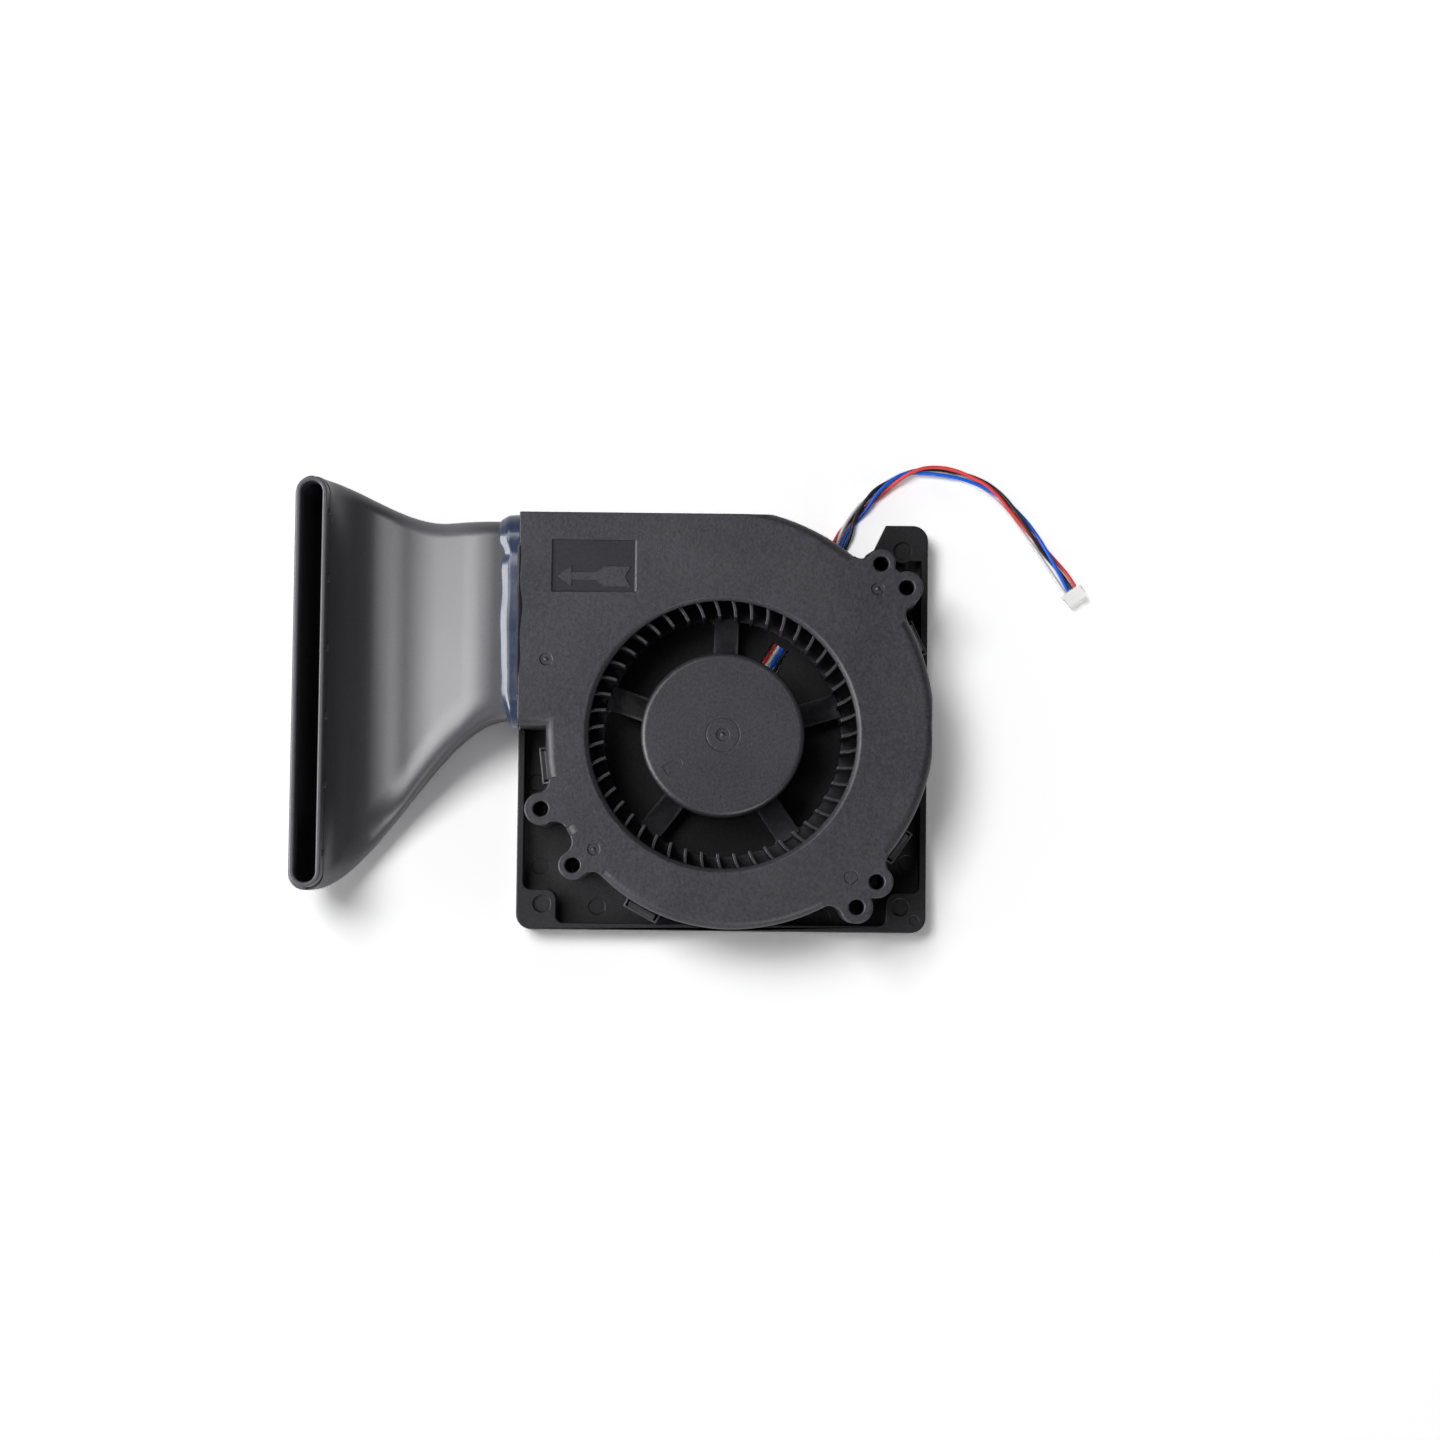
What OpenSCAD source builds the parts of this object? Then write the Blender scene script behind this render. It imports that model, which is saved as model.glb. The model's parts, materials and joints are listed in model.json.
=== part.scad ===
// Centrifugal cooling fan with a fishtail slot nozzle, four wires and a connector.
// The origin is on the fan axis, on the underside of the base. +Z points out of the air inlet,
// and the outlet blows towards -X into the nozzle, whose slot faces +Z.

/* [Base tray] */
// Side of the square base
base_side = 120; // [119:0.5:123]
// How far the middle of the base lies from the fan axis, along Y
base_shift = 3.5; // [3:0.25:4]
// Thickness of the tray floor
floor_t = 2.5; // [2.3:0.1:2.8]
// Thickness of the tray rim
rim_t = 2; // [1.5:0.1:2.5]
// Height of the tray rim above the underside
rim_h = 9; // [8:0.5:10]
// Radius of the corners of the base
corner_r = 4.5; // [3.5:0.5:6]
// Side of the square corner bosses
boss_side = 11.7; // [10.5:0.1:12.5]
// Distance between the pits in the corner bosses
boss_pitch = 105; // [104:0.5:106]
// Diameter of the pits in the corner bosses
pit_d = 4.9; // [4:0.1:5.5]
// Depth of the pits in the corner bosses
pit_depth = 0.8; // [0.5:0.1:1.5]
// Radius of the hollow corners between the bosses and the rim
boss_fillet_r = 2.2; // [1.5:0.1:3]
// Depth of the post beside the wire exit, from the edge of the base
post_depth = 10.5; // [9:0.25:12]
// Radius of the post around its pit
post_r = 3.7; // [3.2:0.1:4.2]
// Diameter of the round ejector marks in the tray floor
ejector_d = 4.5; // [4:0.1:5]
// Depth of the ejector marks
ejector_depth = 0.15; // [0.1:0.05:0.3]

/* [Scroll cover] */
// Height of the fan from the underside to the top of the cover
fan_h = 32; // [31.5:0.25:34]
// Wall thickness of the cover
cover_wall = 1.8; // [1.5:0.1:2.2]
// Outer radius of the scroll where it starts at the tongue
scroll_r = 50.75; // [50:0.25:52]
// Growth of the scroll radius in a quarter turn
scroll_growth = 5; // [4:0.25:5.5]
// Radius of the rounded upper edge of the scroll
scroll_edge_r = 2.7; // [1.5:0.1:3.5]
// Diameter of the air inlet
inlet_d = 76.8; // [74:0.2:80]
// Width of the bevel around the air inlet
inlet_bevel = 1.1; // [0.5:0.1:1.5]
// Distance from the left edge of the base to the outlet mouth
mouth_setback = 1; // [0.5:0.1:2]
// Height in Y of the outer face of the outlet's inner wall
outlet_low = 2.1; // [1:0.1:4]
// Diameter of the screw lugs
lug_d = 9.4; // [8.5:0.1:10]
// Diameter of the two small screw lugs
small_lug_d = 8.2; // [7.6:0.1:9]
// Radius of the hollow curve between a lug and the scroll wall
lug_fillet_r = 3.5; // [3:0.25:4]
// Diameter of the screw holes in the lugs
lug_hole_d = 4.3; // [3.5:0.1:5]
// Size of the sunk panel on the cover in X and Y
panel_size = [24.2, 14.8]; // [10:0.2:26]
// Depth of the sunk panel
panel_depth = 0.6; // [0.3:0.1:0.9]
// Diameter of the round recesses left by the moulding gates
gate_d = 3.2; // [2.6:0.1:3.8]
// Depth of the gate recesses
gate_depth = 0.4; // [0.2:0.05:0.6]
// Clearance between the cover and the tray rim
seat_gap = 0.2; // [0.1:0.05:0.4]

/* [Snap clips] */
// Length of a snap loop along the wall
clip_l = 11; // [9:0.5:11.5]
// How far a snap loop stands out from the wall
clip_out = 2.8; // [2.6:0.1:3.4]
// Thickness of the bars of a snap loop
clip_bar = 1; // [0.8:0.1:1.1]
// Height of the lower edge of a snap loop above the underside
clip_z = 9.5; // [8:0.5:12]
// Height of a snap loop
clip_h = 3; // [2:0.5:4]

/* [Impeller] */
// Outer diameter of the hub
hub_d = 47; // [46.6:0.2:48]
// Distance from the cover's top down to the hub's top
hub_sink = 1.5; // [1:0.25:2.5]
// Wall thickness of the hub
hub_wall = 1.7; // [1.4:0.1:2]
// Radius of the hub's rounded upper edge
hub_edge_r = 1.5; // [0.8:0.1:1.6]
// Height of the impeller's lower face above the underside
impeller_z = 7.5; // [7:0.25:8.5]
// Number of blades
blade_count = 47; // [37:1:51]
// Thickness of a blade
blade_t = 0.9; // [0.7:0.05:1.1]
// Radius of the inner edges of the blades
blade_in_r = 34.2; // [33:0.2:35]
// Radius of the outer edges of the blades
blade_out_r = 44.6; // [43:0.2:46]
// Angle by which a blade's outer edge runs ahead of its inner edge
blade_sweep = 7; // [4:0.5:9]
// How far a blade bows forward of a straight line
blade_bow = 1.1; // [0.5:0.1:1.6]
// Gap between the blade tops and the cover's ceiling
blade_gap = 1.7; // [1:0.1:2.5]
// Thickness of the ring that carries the blades
ring_t = 1.8; // [1.5:0.1:2.4]
// Number of spokes
spoke_count = 5; // [4:1:6]
// Width of a spoke
spoke_w = 7.2; // [6:0.2:8]
// Thickness of a spoke
spoke_t = 2.5; // [2:0.1:3]
// Angle of the first spoke from +X
spoke_turn = 88.5; // [80:0.5:100]
// Radius of the corners between the spokes and the ring
spoke_fillet_r = 1.5; // [1:0.1:2.5]
// Size of the shallow pocket in the hub's top, along and across
pocket_size = [5.6, 3]; // [2:0.1:7]
// Depth of that pocket
pocket_depth = 0.25; // [0.15:0.05:0.5]

/* [Motor] */
// Shaft diameter
shaft_d = 4; // [3.6:0.1:4.2]
// Outer diameter of a ball bearing
bearing_d = 10; // [9.6:0.1:10.4]
// Width of a ball bearing
bearing_w = 4; // [3.6:0.1:4.4]
// Ball diameter
ball_d = 1.5; // [1.3:0.05:1.6]
// Number of balls in a bearing
ball_count = 7; // [6:1:8]
// Outer diameter of the bearing tube
tube_d = 13; // [12.4:0.1:13.6]
// Height of the top of the bearing tube above the underside
tube_top = 24.5; // [23.5:0.25:25]
// Outer diameter of the stator
stator_d = 33; // [32:0.25:34]
// Height of the stack of stator plates
stack_h = 9; // [7:0.5:10]
// Number of stator poles
pole_count = 4; // [4:1:5]
// Width of the neck of a stator pole
neck_w = 5; // [4:0.25:6]
// Thickness of an insulator plate
insulator_t = 1; // [0.8:0.1:1.4]
// Air gap between the stator and the magnet ring
air_gap = 0.5; // [0.4:0.05:0.7]
// Height of the magnet ring
magnet_h = 12; // [10:0.5:13]
// Wall thickness of the steel yoke
yoke_t = 1; // [0.8:0.1:1.2]
// Outer diameter of the circuit board
board_d = 43; // [40:0.5:44]
// Thickness of the circuit board
board_t = 1.2; // [1:0.1:1.6]
// Height of the seat under the circuit board above the floor
board_seat = 2.1; // [1.9:0.1:2.2]
// Clearance of each close fit, on the radius
fit_gap = 0.02; // [0.01:0.005:0.04]

/* [Nozzle] */
// Wall thickness of the nozzle shells
shell_t = 1.5; // [1.2:0.1:1.8]
// Clearance between the nozzle and the outlet it is pushed into
spigot_gap = 0.4; // [0.3:0.05:0.6]
// Length of the nozzle inside the outlet
spigot_l = 5; // [4:0.5:7]
// Length from the outlet mouth to the lowest line of the upper shell
valley_l = 43.7; // [40:0.5:47]
// Outside height of the nozzle at that line
valley_h = 10; // [9.5:0.25:12]
// Radius of the bend between the upper shell and the slot collar
bend_r = 12; // [10:0.5:14]
// How far the lower shell bulges outside the bend
bend_bulge = 2.4; // [1:0.1:3]
// Distance from the outlet mouth to where the upper edge starts to flare
flare_high_l = 21; // [18:0.5:26]
// Distance from the outlet mouth to where the lower edge starts to flare
flare_low_l = 4; // [3:0.5:8]
// Distance from the outlet mouth to where both edges end their flare
flare_end_l = 62; // [60:0.5:66]
// Width of the flare on the upper edge
flare_high = 13; // [10:0.5:15]
// Width of the flare on the lower edge
flare_low = 50.2; // [46:0.5:54]
// Outside thickness of the slot collar
collar_t = 9.1; // [8.9:0.1:9.6]
// Wall thickness of the slot collar
collar_wall = 1.45; // [1.2:0.05:1.6]
// Height of the slot collar above the bend
collar_h = 5; // [4:0.5:8]
// How far the ends of the collar lie inside the nozzle's edges
collar_inset = 0.9; // [0.7:0.05:1]
// Radius of the nozzle's long edges
shell_edge_r = 5; // [4:0.25:6]
// Gap of the seam between the two shells
seam_gap = 0.15; // [0.1:0.05:0.3]
// Number of locating nubs on the collar
nub_count = 6; // [4:1:6]
// Distance between the nubs
nub_pitch = 19.8; // [16:0.2:20]

/* [Wires and connector] */
// Diameter of a wire
wire_d = 1.1; // [1:0.05:1.15]
// Distance between the wires in the channel under the base
lead_pitch = 1.3; // [1.25:0.05:1.4]
// Distance between the wires in the connector
pin_pitch = 1.25; // [1.25:0.01:1.3]
// Size of the connector across the wires, along them and in height
connector_size = [6.8, 4.2, 3.4]; // [3:0.1:8]

/* [Hidden] */
$fn = 96;

// Overlap of pieces that are joined, and overrun of cuts
lap = 0.5;

// Colours
charcoal = [0.27, 0.27, 0.285];
dark_charcoal = [0.2, 0.2, 0.21];
steel = [0.72, 0.72, 0.74];
brass = [0.75, 0.6, 0.3];
copper = [0.72, 0.4, 0.2];
board_green = [0.1, 0.35, 0.2];
glue_blue = [0.24, 0.3, 0.41];
red = [0.92, 0.29, 0.28];
white = [0.93, 0.93, 0.91];
blue = [0, 0.38, 0.88];
black = [0.13, 0.13, 0.13];

// Edges of the base
base_left = -base_side / 2;
base_right = base_side / 2;
base_top = base_shift + base_side / 2;
base_bottom = base_shift - base_side / 2;
boss_inner_r = 3;
post_left = 36;
// Middles of the ejector marks in the tray floor
ejector_places = [[-53.4, -37.9], [-36.6, -49.7], [-54.9, -13.4], [54.7, -36.1], [29.9, -52.4]];
// Small ejector mark on the lower right boss
small_ejector = [56.6, -52.7];
small_ejector_d = 2.5;
// How much further than its tangent a hollow corner is cut, so that its ends are clean edges
fillet_relief = 0.03;

// The scroll: three quarter arcs about the corners of a small square
function arc_centre(quarter) = [[1, -1], [1, 1], [-1, 1]][quarter] * scroll_growth / 2;
function arc_radius(quarter) = scroll_r + scroll_growth * (quarter + 0.5);
ceiling_z = fan_h - cover_wall;
mouth_x = base_left + mouth_setback;
// Screw lugs: place and diameter
lugs = [[-51.8, -21.9, lug_d], [-42.5, -37.9, small_lug_d], [45, 49.5, small_lug_d],
        [52.4, 42.7, lug_d], [44.4, -41.7, lug_d], [38.7, -49, lug_d]];
// Neighbouring lugs that are joined by a bar
lug_pairs = [[2, 3], [4, 5]];
lug_bar_w = 3.5;
lug_root = 1;
panel_corner = [-49.4, 40.7];
clip_angles = [186.5, 242, 325.5, 25];
gate_places = [[-50.9, 21], [44, 42.3], [-36.5, -33.3]];
gate_dome_r = 0.8;
cover_ejector = [37.1, -40.5];
cover_ejector_d = 3.6;

// Upper right notch of the base, where the wires leave
notch_right = [[47.4, 70], [47.4, 63.3], [44, 56.2], [41.7, 54.7], [36, 46]];
notch_left_x = 14;
notch_lip = 0.8;
tab_angle = 62;
tab_w = 5.2;
tab_t = 2;
tab_h = 8;
tab_foot = 3;

// Impeller heights and radii
hub_r = hub_d / 2;
hub_top = fan_h - hub_sink;
hub_roof = 2;
hub_bore_r = hub_r - hub_wall;
blade_top = ceiling_z - blade_gap;
ring_edge = 0.3;
ring_out_r = blade_out_r + ring_edge;
ring_step = 0.5;
ring_in_r = blade_in_r + ring_step;
spoke_root = 1.5;
crown_w = 1.6;
crown_h = 2;
hub_gate_d = 3.8;
hub_ring_d = 9.3;
hub_ring_w = 0.3;
hub_ring_depth = 0.1;
pocket_place = [-14.1, -9.2];
pocket_turn = 33;

// Motor heights and radii
shaft_r = shaft_d / 2;
board_z = floor_t + board_seat;
stack_gap = 2.2;
stack_z = board_z + board_t + stack_gap;
tube_flange = 4;
tube_step = 0.8;
lower_bearing_gap = 1.7;
lower_bearing_z = floor_t + lower_bearing_gap;
upper_bearing_z = tube_top - bearing_w;
clip_t = 0.6;
clip_rim = 0.8;
clip_mouth = 1.4;
clip_gap = 0.3;
clip_low = lower_bearing_z - clip_t - clip_gap;
groove_depth = 0.4;
shaft_end_gap = 0.4;
shaft_low = floor_t + shaft_end_gap;
yoke_r = hub_bore_r - fit_gap;
yoke_roof_z = hub_top - hub_roof - yoke_t;
yoke_low = impeller_z + 1;
shaft_boss_h = 0.8;
shaft_boss_t = 2.5;
boss_low = yoke_roof_z - shaft_boss_h;
magnet_r = yoke_r - yoke_t - fit_gap;
magnet_z = impeller_z + 1.5;
ball_gap = 0.03;
ball_r = ball_d / 2;
pitch_r = (shaft_r + bearing_d / 2) / 2;
race_land = 0.5;
cage_gap = 0.2;
spring_wire = 0.5;
spring_turns = 2.5;
spring_gap = 0.25;
stator_turn = 45;
stator_hub_t = 2.5;
shoe_t = 2;
insulator_inset = 0.5;
coil_gap = 0.6;
coil_t = 1.1;
chip_h = 1.2;

// Wire route from the edge of the base to the connector
wire_route = [
    [34, 58], [36, 62.2], [38.5, 66.4], [41.5, 70.4], [45, 74], [49, 77], [53.5, 79.6],
    [58.5, 81], [63.5, 81.1], [68.5, 80.2], [73, 78.6], [77.5, 76.4], [81.5, 73.4],
    [85, 69.8], [88.2, 65.8], [91.2, 61.8], [94.2, 57.8], [97.2, 53.6], [100.2, 49.4], [102.8, 45.6]
];
route_last = len(wire_route) - 1;
// How the wires lie between the ends of the route: at each point, the distance out from the
// middle and the height of the red, white, blue and black wire, for wires of laid_wire_d
wire_lay = [
    [[1.6, 0.6], [1.2, 1.9], [-0.4, 0.6], [-1.6, 1.7]],
    [[0.5, 0.6], [1.3, 1.6], [-0.9, 0.7], [-0.1, 1.85]],
    [[-0.6, 0.6], [1.2, 0.85], [-1.2, 1.65], [0.5, 2]],
    [[-1.2, 1.15], [0.3, 0.6], [-0.3, 2.3], [1.1, 1.7]],
    [[-0.85, 1.75], [-0.3, 0.6], [0.4, 2.1], [0.85, 0.7]],
    [[-0.35, 2.8], [-0.5, 0.6], [0.5, 1.75], [0.65, 0.6]],
    [[0.45, 2.8], [-0.6, 0.6], [-0.8, 1.75], [0.55, 0.6]],
    [[0.9, 1.95], [-0.7, 0.6], [-1.2, 1.7], [0.45, 0.6]],
    [[0.9, 1.8], [-0.7, 0.6], [-1.1, 1.7], [0.6, 0.6]],
    [[0.6, 1.95], [-0.95, 0.6], [-0.75, 1.75], [1.05, 0.8]],
    [[0.4, 2.2], [-1.3, 0.6], [-0.35, 1.3], [1.2, 1.05]],
    [[0, 1.95], [-1.3, 0.6], [0.25, 0.7], [1.1, 1.5]],
    [[-0.4, 1.5], [-1.3, 0.6], [1, 0.6], [0.8, 1.85]],
    [[-0.2, 0.9], [-1.35, 0.6], [1.5, 0.75], [0.45, 1.95]],
    [[0.2, 0.6], [-1.3, 0.6], [1.5, 1.1], [0.15, 1.8]],
    [[1, 0.6], [-1.35, 0.6], [1.05, 1.8], [-0.15, 1.35]],
    [[1.6, 0.85], [-1.5, 0.8], [0.5, 2.15], [0.35, 0.9]],
    [[2, 1.25], [-1.7, 1.2], [-0.1, 2.1], [0.65, 1.15]]
];
laid_wire_d = 1.1;
lead_z = 0.75;
channel_start = [12, 19];
channel_run = wire_route[0] - channel_start;
channel_angle = atan2(channel_run[1], channel_run[0]);
channel_w = 3 * lead_pitch + wire_d + 0.4;
channel_depth = lead_z + wire_d / 2 + 0.2;
// Slot through the floor at the channel's inner end: its start and length along the channel
slot_start = 1.5;
slot_l = 8.5;
connector_run = wire_route[route_last] - wire_route[route_last - 1];
connector_angle = atan2(connector_run[1], connector_run[0]);
// Places of the wires side by side, from the outside of the curve to the inside
lead_order = ["red", "white", "blue", "black"];
pin_order = ["red", "black", "blue", "white"];
function place_in(order, name) = search([name], order)[0];

// General functions
function unit(v) = v / norm(v);
function mix(a, b, t) = a + (b - a) * t;
function smooth(t) = let (c = min(max(t, 0), 1)) c * c * (3 - 2 * c);

// Closed mesh around rings of points: each ring has the same number of points, and
// the first and last rings are closed by a fan of triangles
function tube_faces(rings, sides) = concat(
    [for (i = [0:rings - 2], j = [0:sides - 1])
        [i * sides + j, i * sides + (j + 1) % sides, (i + 1) * sides + (j + 1) % sides]],
    [for (i = [0:rings - 2], j = [0:sides - 1])
        [i * sides + j, (i + 1) * sides + (j + 1) % sides, (i + 1) * sides + j]],
    [[for (j = [0:sides - 1]) sides - 1 - j]],
    [[for (j = [0:sides - 1]) (rings - 1) * sides + j]]
);

// Round tube along a path, square to the path at each of its points
module tube_along(path, d, sides, first_run, last_run) {
    last = len(path) - 1;
    runs = [for (i = [0:last])
        i == 0 ? first_run : i == last ? last_run : unit(path[i + 1] - path[i - 1])];
    points = [for (i = [0:last])
        let (side = unit(cross(runs[i], [0, 0, 1])), up = cross(side, runs[i]))
        for (j = [0:sides - 1])
            path[i] + d / 2 * (cos(360 * j / sides) * side + sin(360 * j / sides) * up)];
    polyhedron(points, tube_faces(last + 1, sides), 10);
}

// Square with round corners
module round_square(low, high, r) {
    for (x = [low[0] + r, high[0] - r], y = [low[1] + r, high[1] - r])
        translate([x, y]) circle(r);
    translate([low[0] + r, low[1]]) square([high[0] - low[0] - 2 * r, high[1] - low[1]]);
    translate([low[0], low[1] + r]) square([high[0] - low[0], high[1] - low[1] - 2 * r]);
}

// Half section of a block that reaches to r, from low to high, with a round outer upper edge
module edge_section(r, low, high, edge) {
    if (edge > 0) {
        translate([0, low]) square([r - edge, high - low]);
        translate([0, low]) square([r, high - low - edge]);
        translate([r - edge, high - edge]) circle(edge);
    } else {
        translate([0, low]) square([r, high - low]);
    }
}

// Solid inside the scroll outline, grown by grow, with its outlet reaching to outlet_x
module scroll_solid(grow, low, high, edge, outlet_x) {
    start_y = outlet_low - grow + edge + 1;
    intersection() {
        union() {
            for (quarter = [0:2])
                translate(arc_centre(quarter))
                    rotate(180 + 90 * quarter)
                        rotate_extrude(angle = 90)
                            edge_section(arc_radius(quarter) + grow, low, high, edge);
            // Straight start of the scroll, from its first arc to the tongue
            translate([0, start_y, 0]) rotate([90, 0, 0]) mirror([1, 0, 0])
                linear_extrude(start_y + scroll_growth / 2)
                    edge_section(scroll_r + grow, low, high, edge);
            translate([-lap, -scroll_growth / 2, low])
                cube([scroll_growth / 2 + lap, scroll_growth + lap, high - low]);
            // Straight outlet
            translate([0, base_top, 0]) rotate([90, 0, -90])
                linear_extrude(-outlet_x)
                    edge_section(base_top - outlet_low + grow, low, high, edge);
        }
        translate([-base_side, -base_side, low - lap])
            cube([base_side + base_right + grow, base_side + base_top + grow, high - low + 2 * lap]);
    }
}

// Places children at the scroll's outer wall, with +X pointing away from the wall
module at_wall(angle) {
    quarter = floor(((angle + 180) % 360) / 90);
    translate(arc_centre(quarter)) rotate(angle) translate([arc_radius(quarter), 0, 0]) children();
}

// Place of a lug, and the quarter of the scroll that it stands on
function lug_place(lug) = [lug[0], lug[1]];
function lug_quarter(lug) = floor(((atan2(lug[1], lug[0]) + 540) % 360) / 90);

// Point of the scroll wall nearest a place, moved in by depth
function wall_point(lug, place, depth) =
    let (quarter = lug_quarter(lug), middle = arc_centre(quarter))
    middle + (arc_radius(quarter) - depth) * unit(place - middle);

// Middle of the hollow curve on one side of a lug: it touches the lug and the scroll wall
function fillet_middle(lug, side) =
    let (quarter = lug_quarter(lug),
         run = lug_place(lug) - arc_centre(quarter),
         wall_reach = arc_radius(quarter) + lug_fillet_r,
         lug_reach = lug[2] / 2 + lug_fillet_r,
         angle = acos((run * run + wall_reach * wall_reach - lug_reach * lug_reach)
                      / (2 * norm(run) * wall_reach)),
         turn = atan2(run[1], run[0]) + side * angle)
    arc_centre(quarter) + wall_reach * [cos(turn), sin(turn)];

// Plan of the screw lugs, grown by grow, which run into the scroll wall in hollow curves
module lug_plan(grow) {
    for (lug = lugs) {
        a = fillet_middle(lug, -1);
        b = fillet_middle(lug, 1);
        translate(lug_place(lug)) circle(lug[2] / 2 + grow);
        difference() {
            polygon([lug_place(lug), a, wall_point(lug, a, lug_root), wall_point(lug, b, lug_root), b]);
            for (middle = [a, b]) translate(middle) circle(lug_fillet_r + fillet_relief - grow);
        }
    }
    for (pair = lug_pairs) {
        a = lug_place(lugs[pair[0]]);
        b = lug_place(lugs[pair[1]]);
        across = (lug_bar_w / 2 + grow) * unit([b[1] - a[1], a[0] - b[0]]);
        polygon([a + across, b + across, b - across, a - across]);
        polygon([a, b, wall_point(lugs[pair[1]], b, lug_root), wall_point(lugs[pair[0]], a, lug_root)]);
    }
}

// Plan of a corner boss: sides are the signs of X and Y at its corner of the base
module boss_plan(sides) {
    function inside(u, v) =
        [sides[0] * (base_side / 2 - u), base_shift + sides[1] * (base_side / 2 - v)];
    a = inside(0, 0);
    b = inside(boss_side, boss_side);
    round_square([min(a[0], b[0]), min(a[1], b[1])], [max(a[0], b[0]), max(a[1], b[1])], boss_inner_r);
    // Hollow corners between the boss and the rim
    far = boss_side + boss_fillet_r;
    near = rim_t + boss_fillet_r;
    difference() {
        polygon([inside(far, near), inside(far, rim_t - lap), inside(boss_side - lap, rim_t - lap),
                 inside(boss_side - lap, near)]);
        translate(inside(far, near)) circle(boss_fillet_r + fillet_relief);
    }
    difference() {
        polygon([inside(near, far), inside(rim_t - lap, far), inside(rim_t - lap, boss_side - lap),
                 inside(near, boss_side - lap)]);
        translate(inside(near, far)) circle(boss_fillet_r + fillet_relief);
    }
}

// Plan of the post between the wire exit and the upper right corner
module post_plan() {
    intersection() {
        base_plan();
        union() {
            translate([post_left, base_top - post_depth]) square([base_right - post_left, post_depth]);
            translate([boss_pitch / 2, base_shift + boss_pitch / 2]) circle(post_r);
        }
    }
}

// Round recess left by a moulding gate in a face at z = top, with the broken-off stub in it
module gate_cut(d, top) {
    translate([0, 0, top - gate_depth]) cylinder(d = d, h = 2 * gate_depth);
}
module gate_stub(top) {
    translate([0, 0, top - gate_dome_r]) sphere(gate_dome_r);
}

// Plan of the base, with the notch at the wire exit
module base_plan() {
    difference() {
        round_square([base_left, base_bottom], [base_right, base_top], corner_r);
        difference() {
            polygon(concat(notch_right, [[notch_left_x, 46], [notch_left_x, 70]]));
            translate(arc_centre(2)) circle(arc_radius(2) + notch_lip);
        }
    }
}

module base_tray() {
    color(dark_charcoal) difference() {
        union() {
            linear_extrude(floor_t) base_plan();
            difference() {
                linear_extrude(rim_h) {
                    difference() {
                        base_plan();
                        round_square([base_left + rim_t, base_bottom + rim_t],
                                     [base_right - rim_t, base_top - rim_t], corner_r - rim_t);
                    }
                    intersection() {
                        base_plan();
                        for (side = [-1, 1]) boss_plan([side, -1]);
                    }
                    post_plan();
                }
                scroll_solid(seat_gap, -lap, rim_h + lap, 0, base_left - lap);
                translate([0, 0, floor_t]) linear_extrude(rim_h) lug_plan(seat_gap);
            }
            for (angle = clip_angles) at_wall(angle) snap_hook();
            translate(arc_centre(2)) rotate(tab_angle) wire_tab();
            cylinder(r = tube_d / 2 + tube_flange, h = board_z);
        }
        // Pits in the corner bosses
        for (x = [-1, 1], y = [-1, 1])
            translate([x * boss_pitch / 2, base_shift + y * boss_pitch / 2, rim_h - pit_depth])
                cylinder(d = pit_d, h = rim_h);
        // Screw holes in line with the lugs
        for (lug = lugs) translate([lug[0], lug[1], -lap]) cylinder(d = lug_hole_d, h = fan_h);
        // Ejector marks
        for (p = ejector_places)
            translate([p[0], p[1], floor_t - ejector_depth]) cylinder(d = ejector_d, h = rim_t);
        translate([small_ejector[0], small_ejector[1], rim_h - ejector_depth])
            cylinder(d = small_ejector_d, h = rim_t);
        // Seat of the bearing tube
        translate([0, 0, floor_t]) cylinder(r = tube_d / 2 + fit_gap, h = board_z);
        // Channel for the wires on the underside, and the slot through the floor at its inner end
        translate(channel_start) rotate(channel_angle) {
            translate([slot_start + 1, -channel_w / 2, -lap])
                cube([norm(channel_run) + slot_l, channel_w, channel_depth + lap]);
            translate([slot_start, -channel_w / 2, -lap]) cube([slot_l, channel_w, floor_t + 2 * lap]);
        }
    }
}

// Hook on the base that passes through a snap loop and holds it down
module snap_hook() {
    out = clip_out - clip_bar - 2 * seat_gap;
    wide = clip_l - 2 * clip_bar - 2 * seat_gap;
    top = clip_z + clip_h + seat_gap;
    translate([seat_gap, wide / 2, 0]) rotate([90, 0, 0]) linear_extrude(wide)
        polygon([[0, 0], [out, 0], [out, top], [out + clip_bar * 0.7, top],
                 [out * 0.6, top + 2], [0, top + 2]]);
}

// Loop on the cover wall that the hook passes through
module snap_loop() {
    difference() {
        translate([-cover_wall / 2, -clip_l / 2, clip_z])
            cube([clip_out + cover_wall / 2, clip_l, clip_h]);
        translate([0, -clip_l / 2 + clip_bar, clip_z - lap])
            cube([clip_out - clip_bar, clip_l - 2 * clip_bar, clip_h + 2 * lap]);
    }
}

// Tab that keeps the wires beside the notch
module wire_tab() {
    wall_r = arc_radius(2) + notch_lip;
    translate([0, tab_w / 2, 0]) rotate([90, 0, 0]) linear_extrude(tab_w)
        polygon([[wall_r - tab_foot, 0], [wall_r + tab_t, 0], [wall_r + tab_t, tab_h],
                 [wall_r, tab_h], [wall_r, floor_t - lap], [wall_r - tab_foot, floor_t - lap]]);
}

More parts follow.
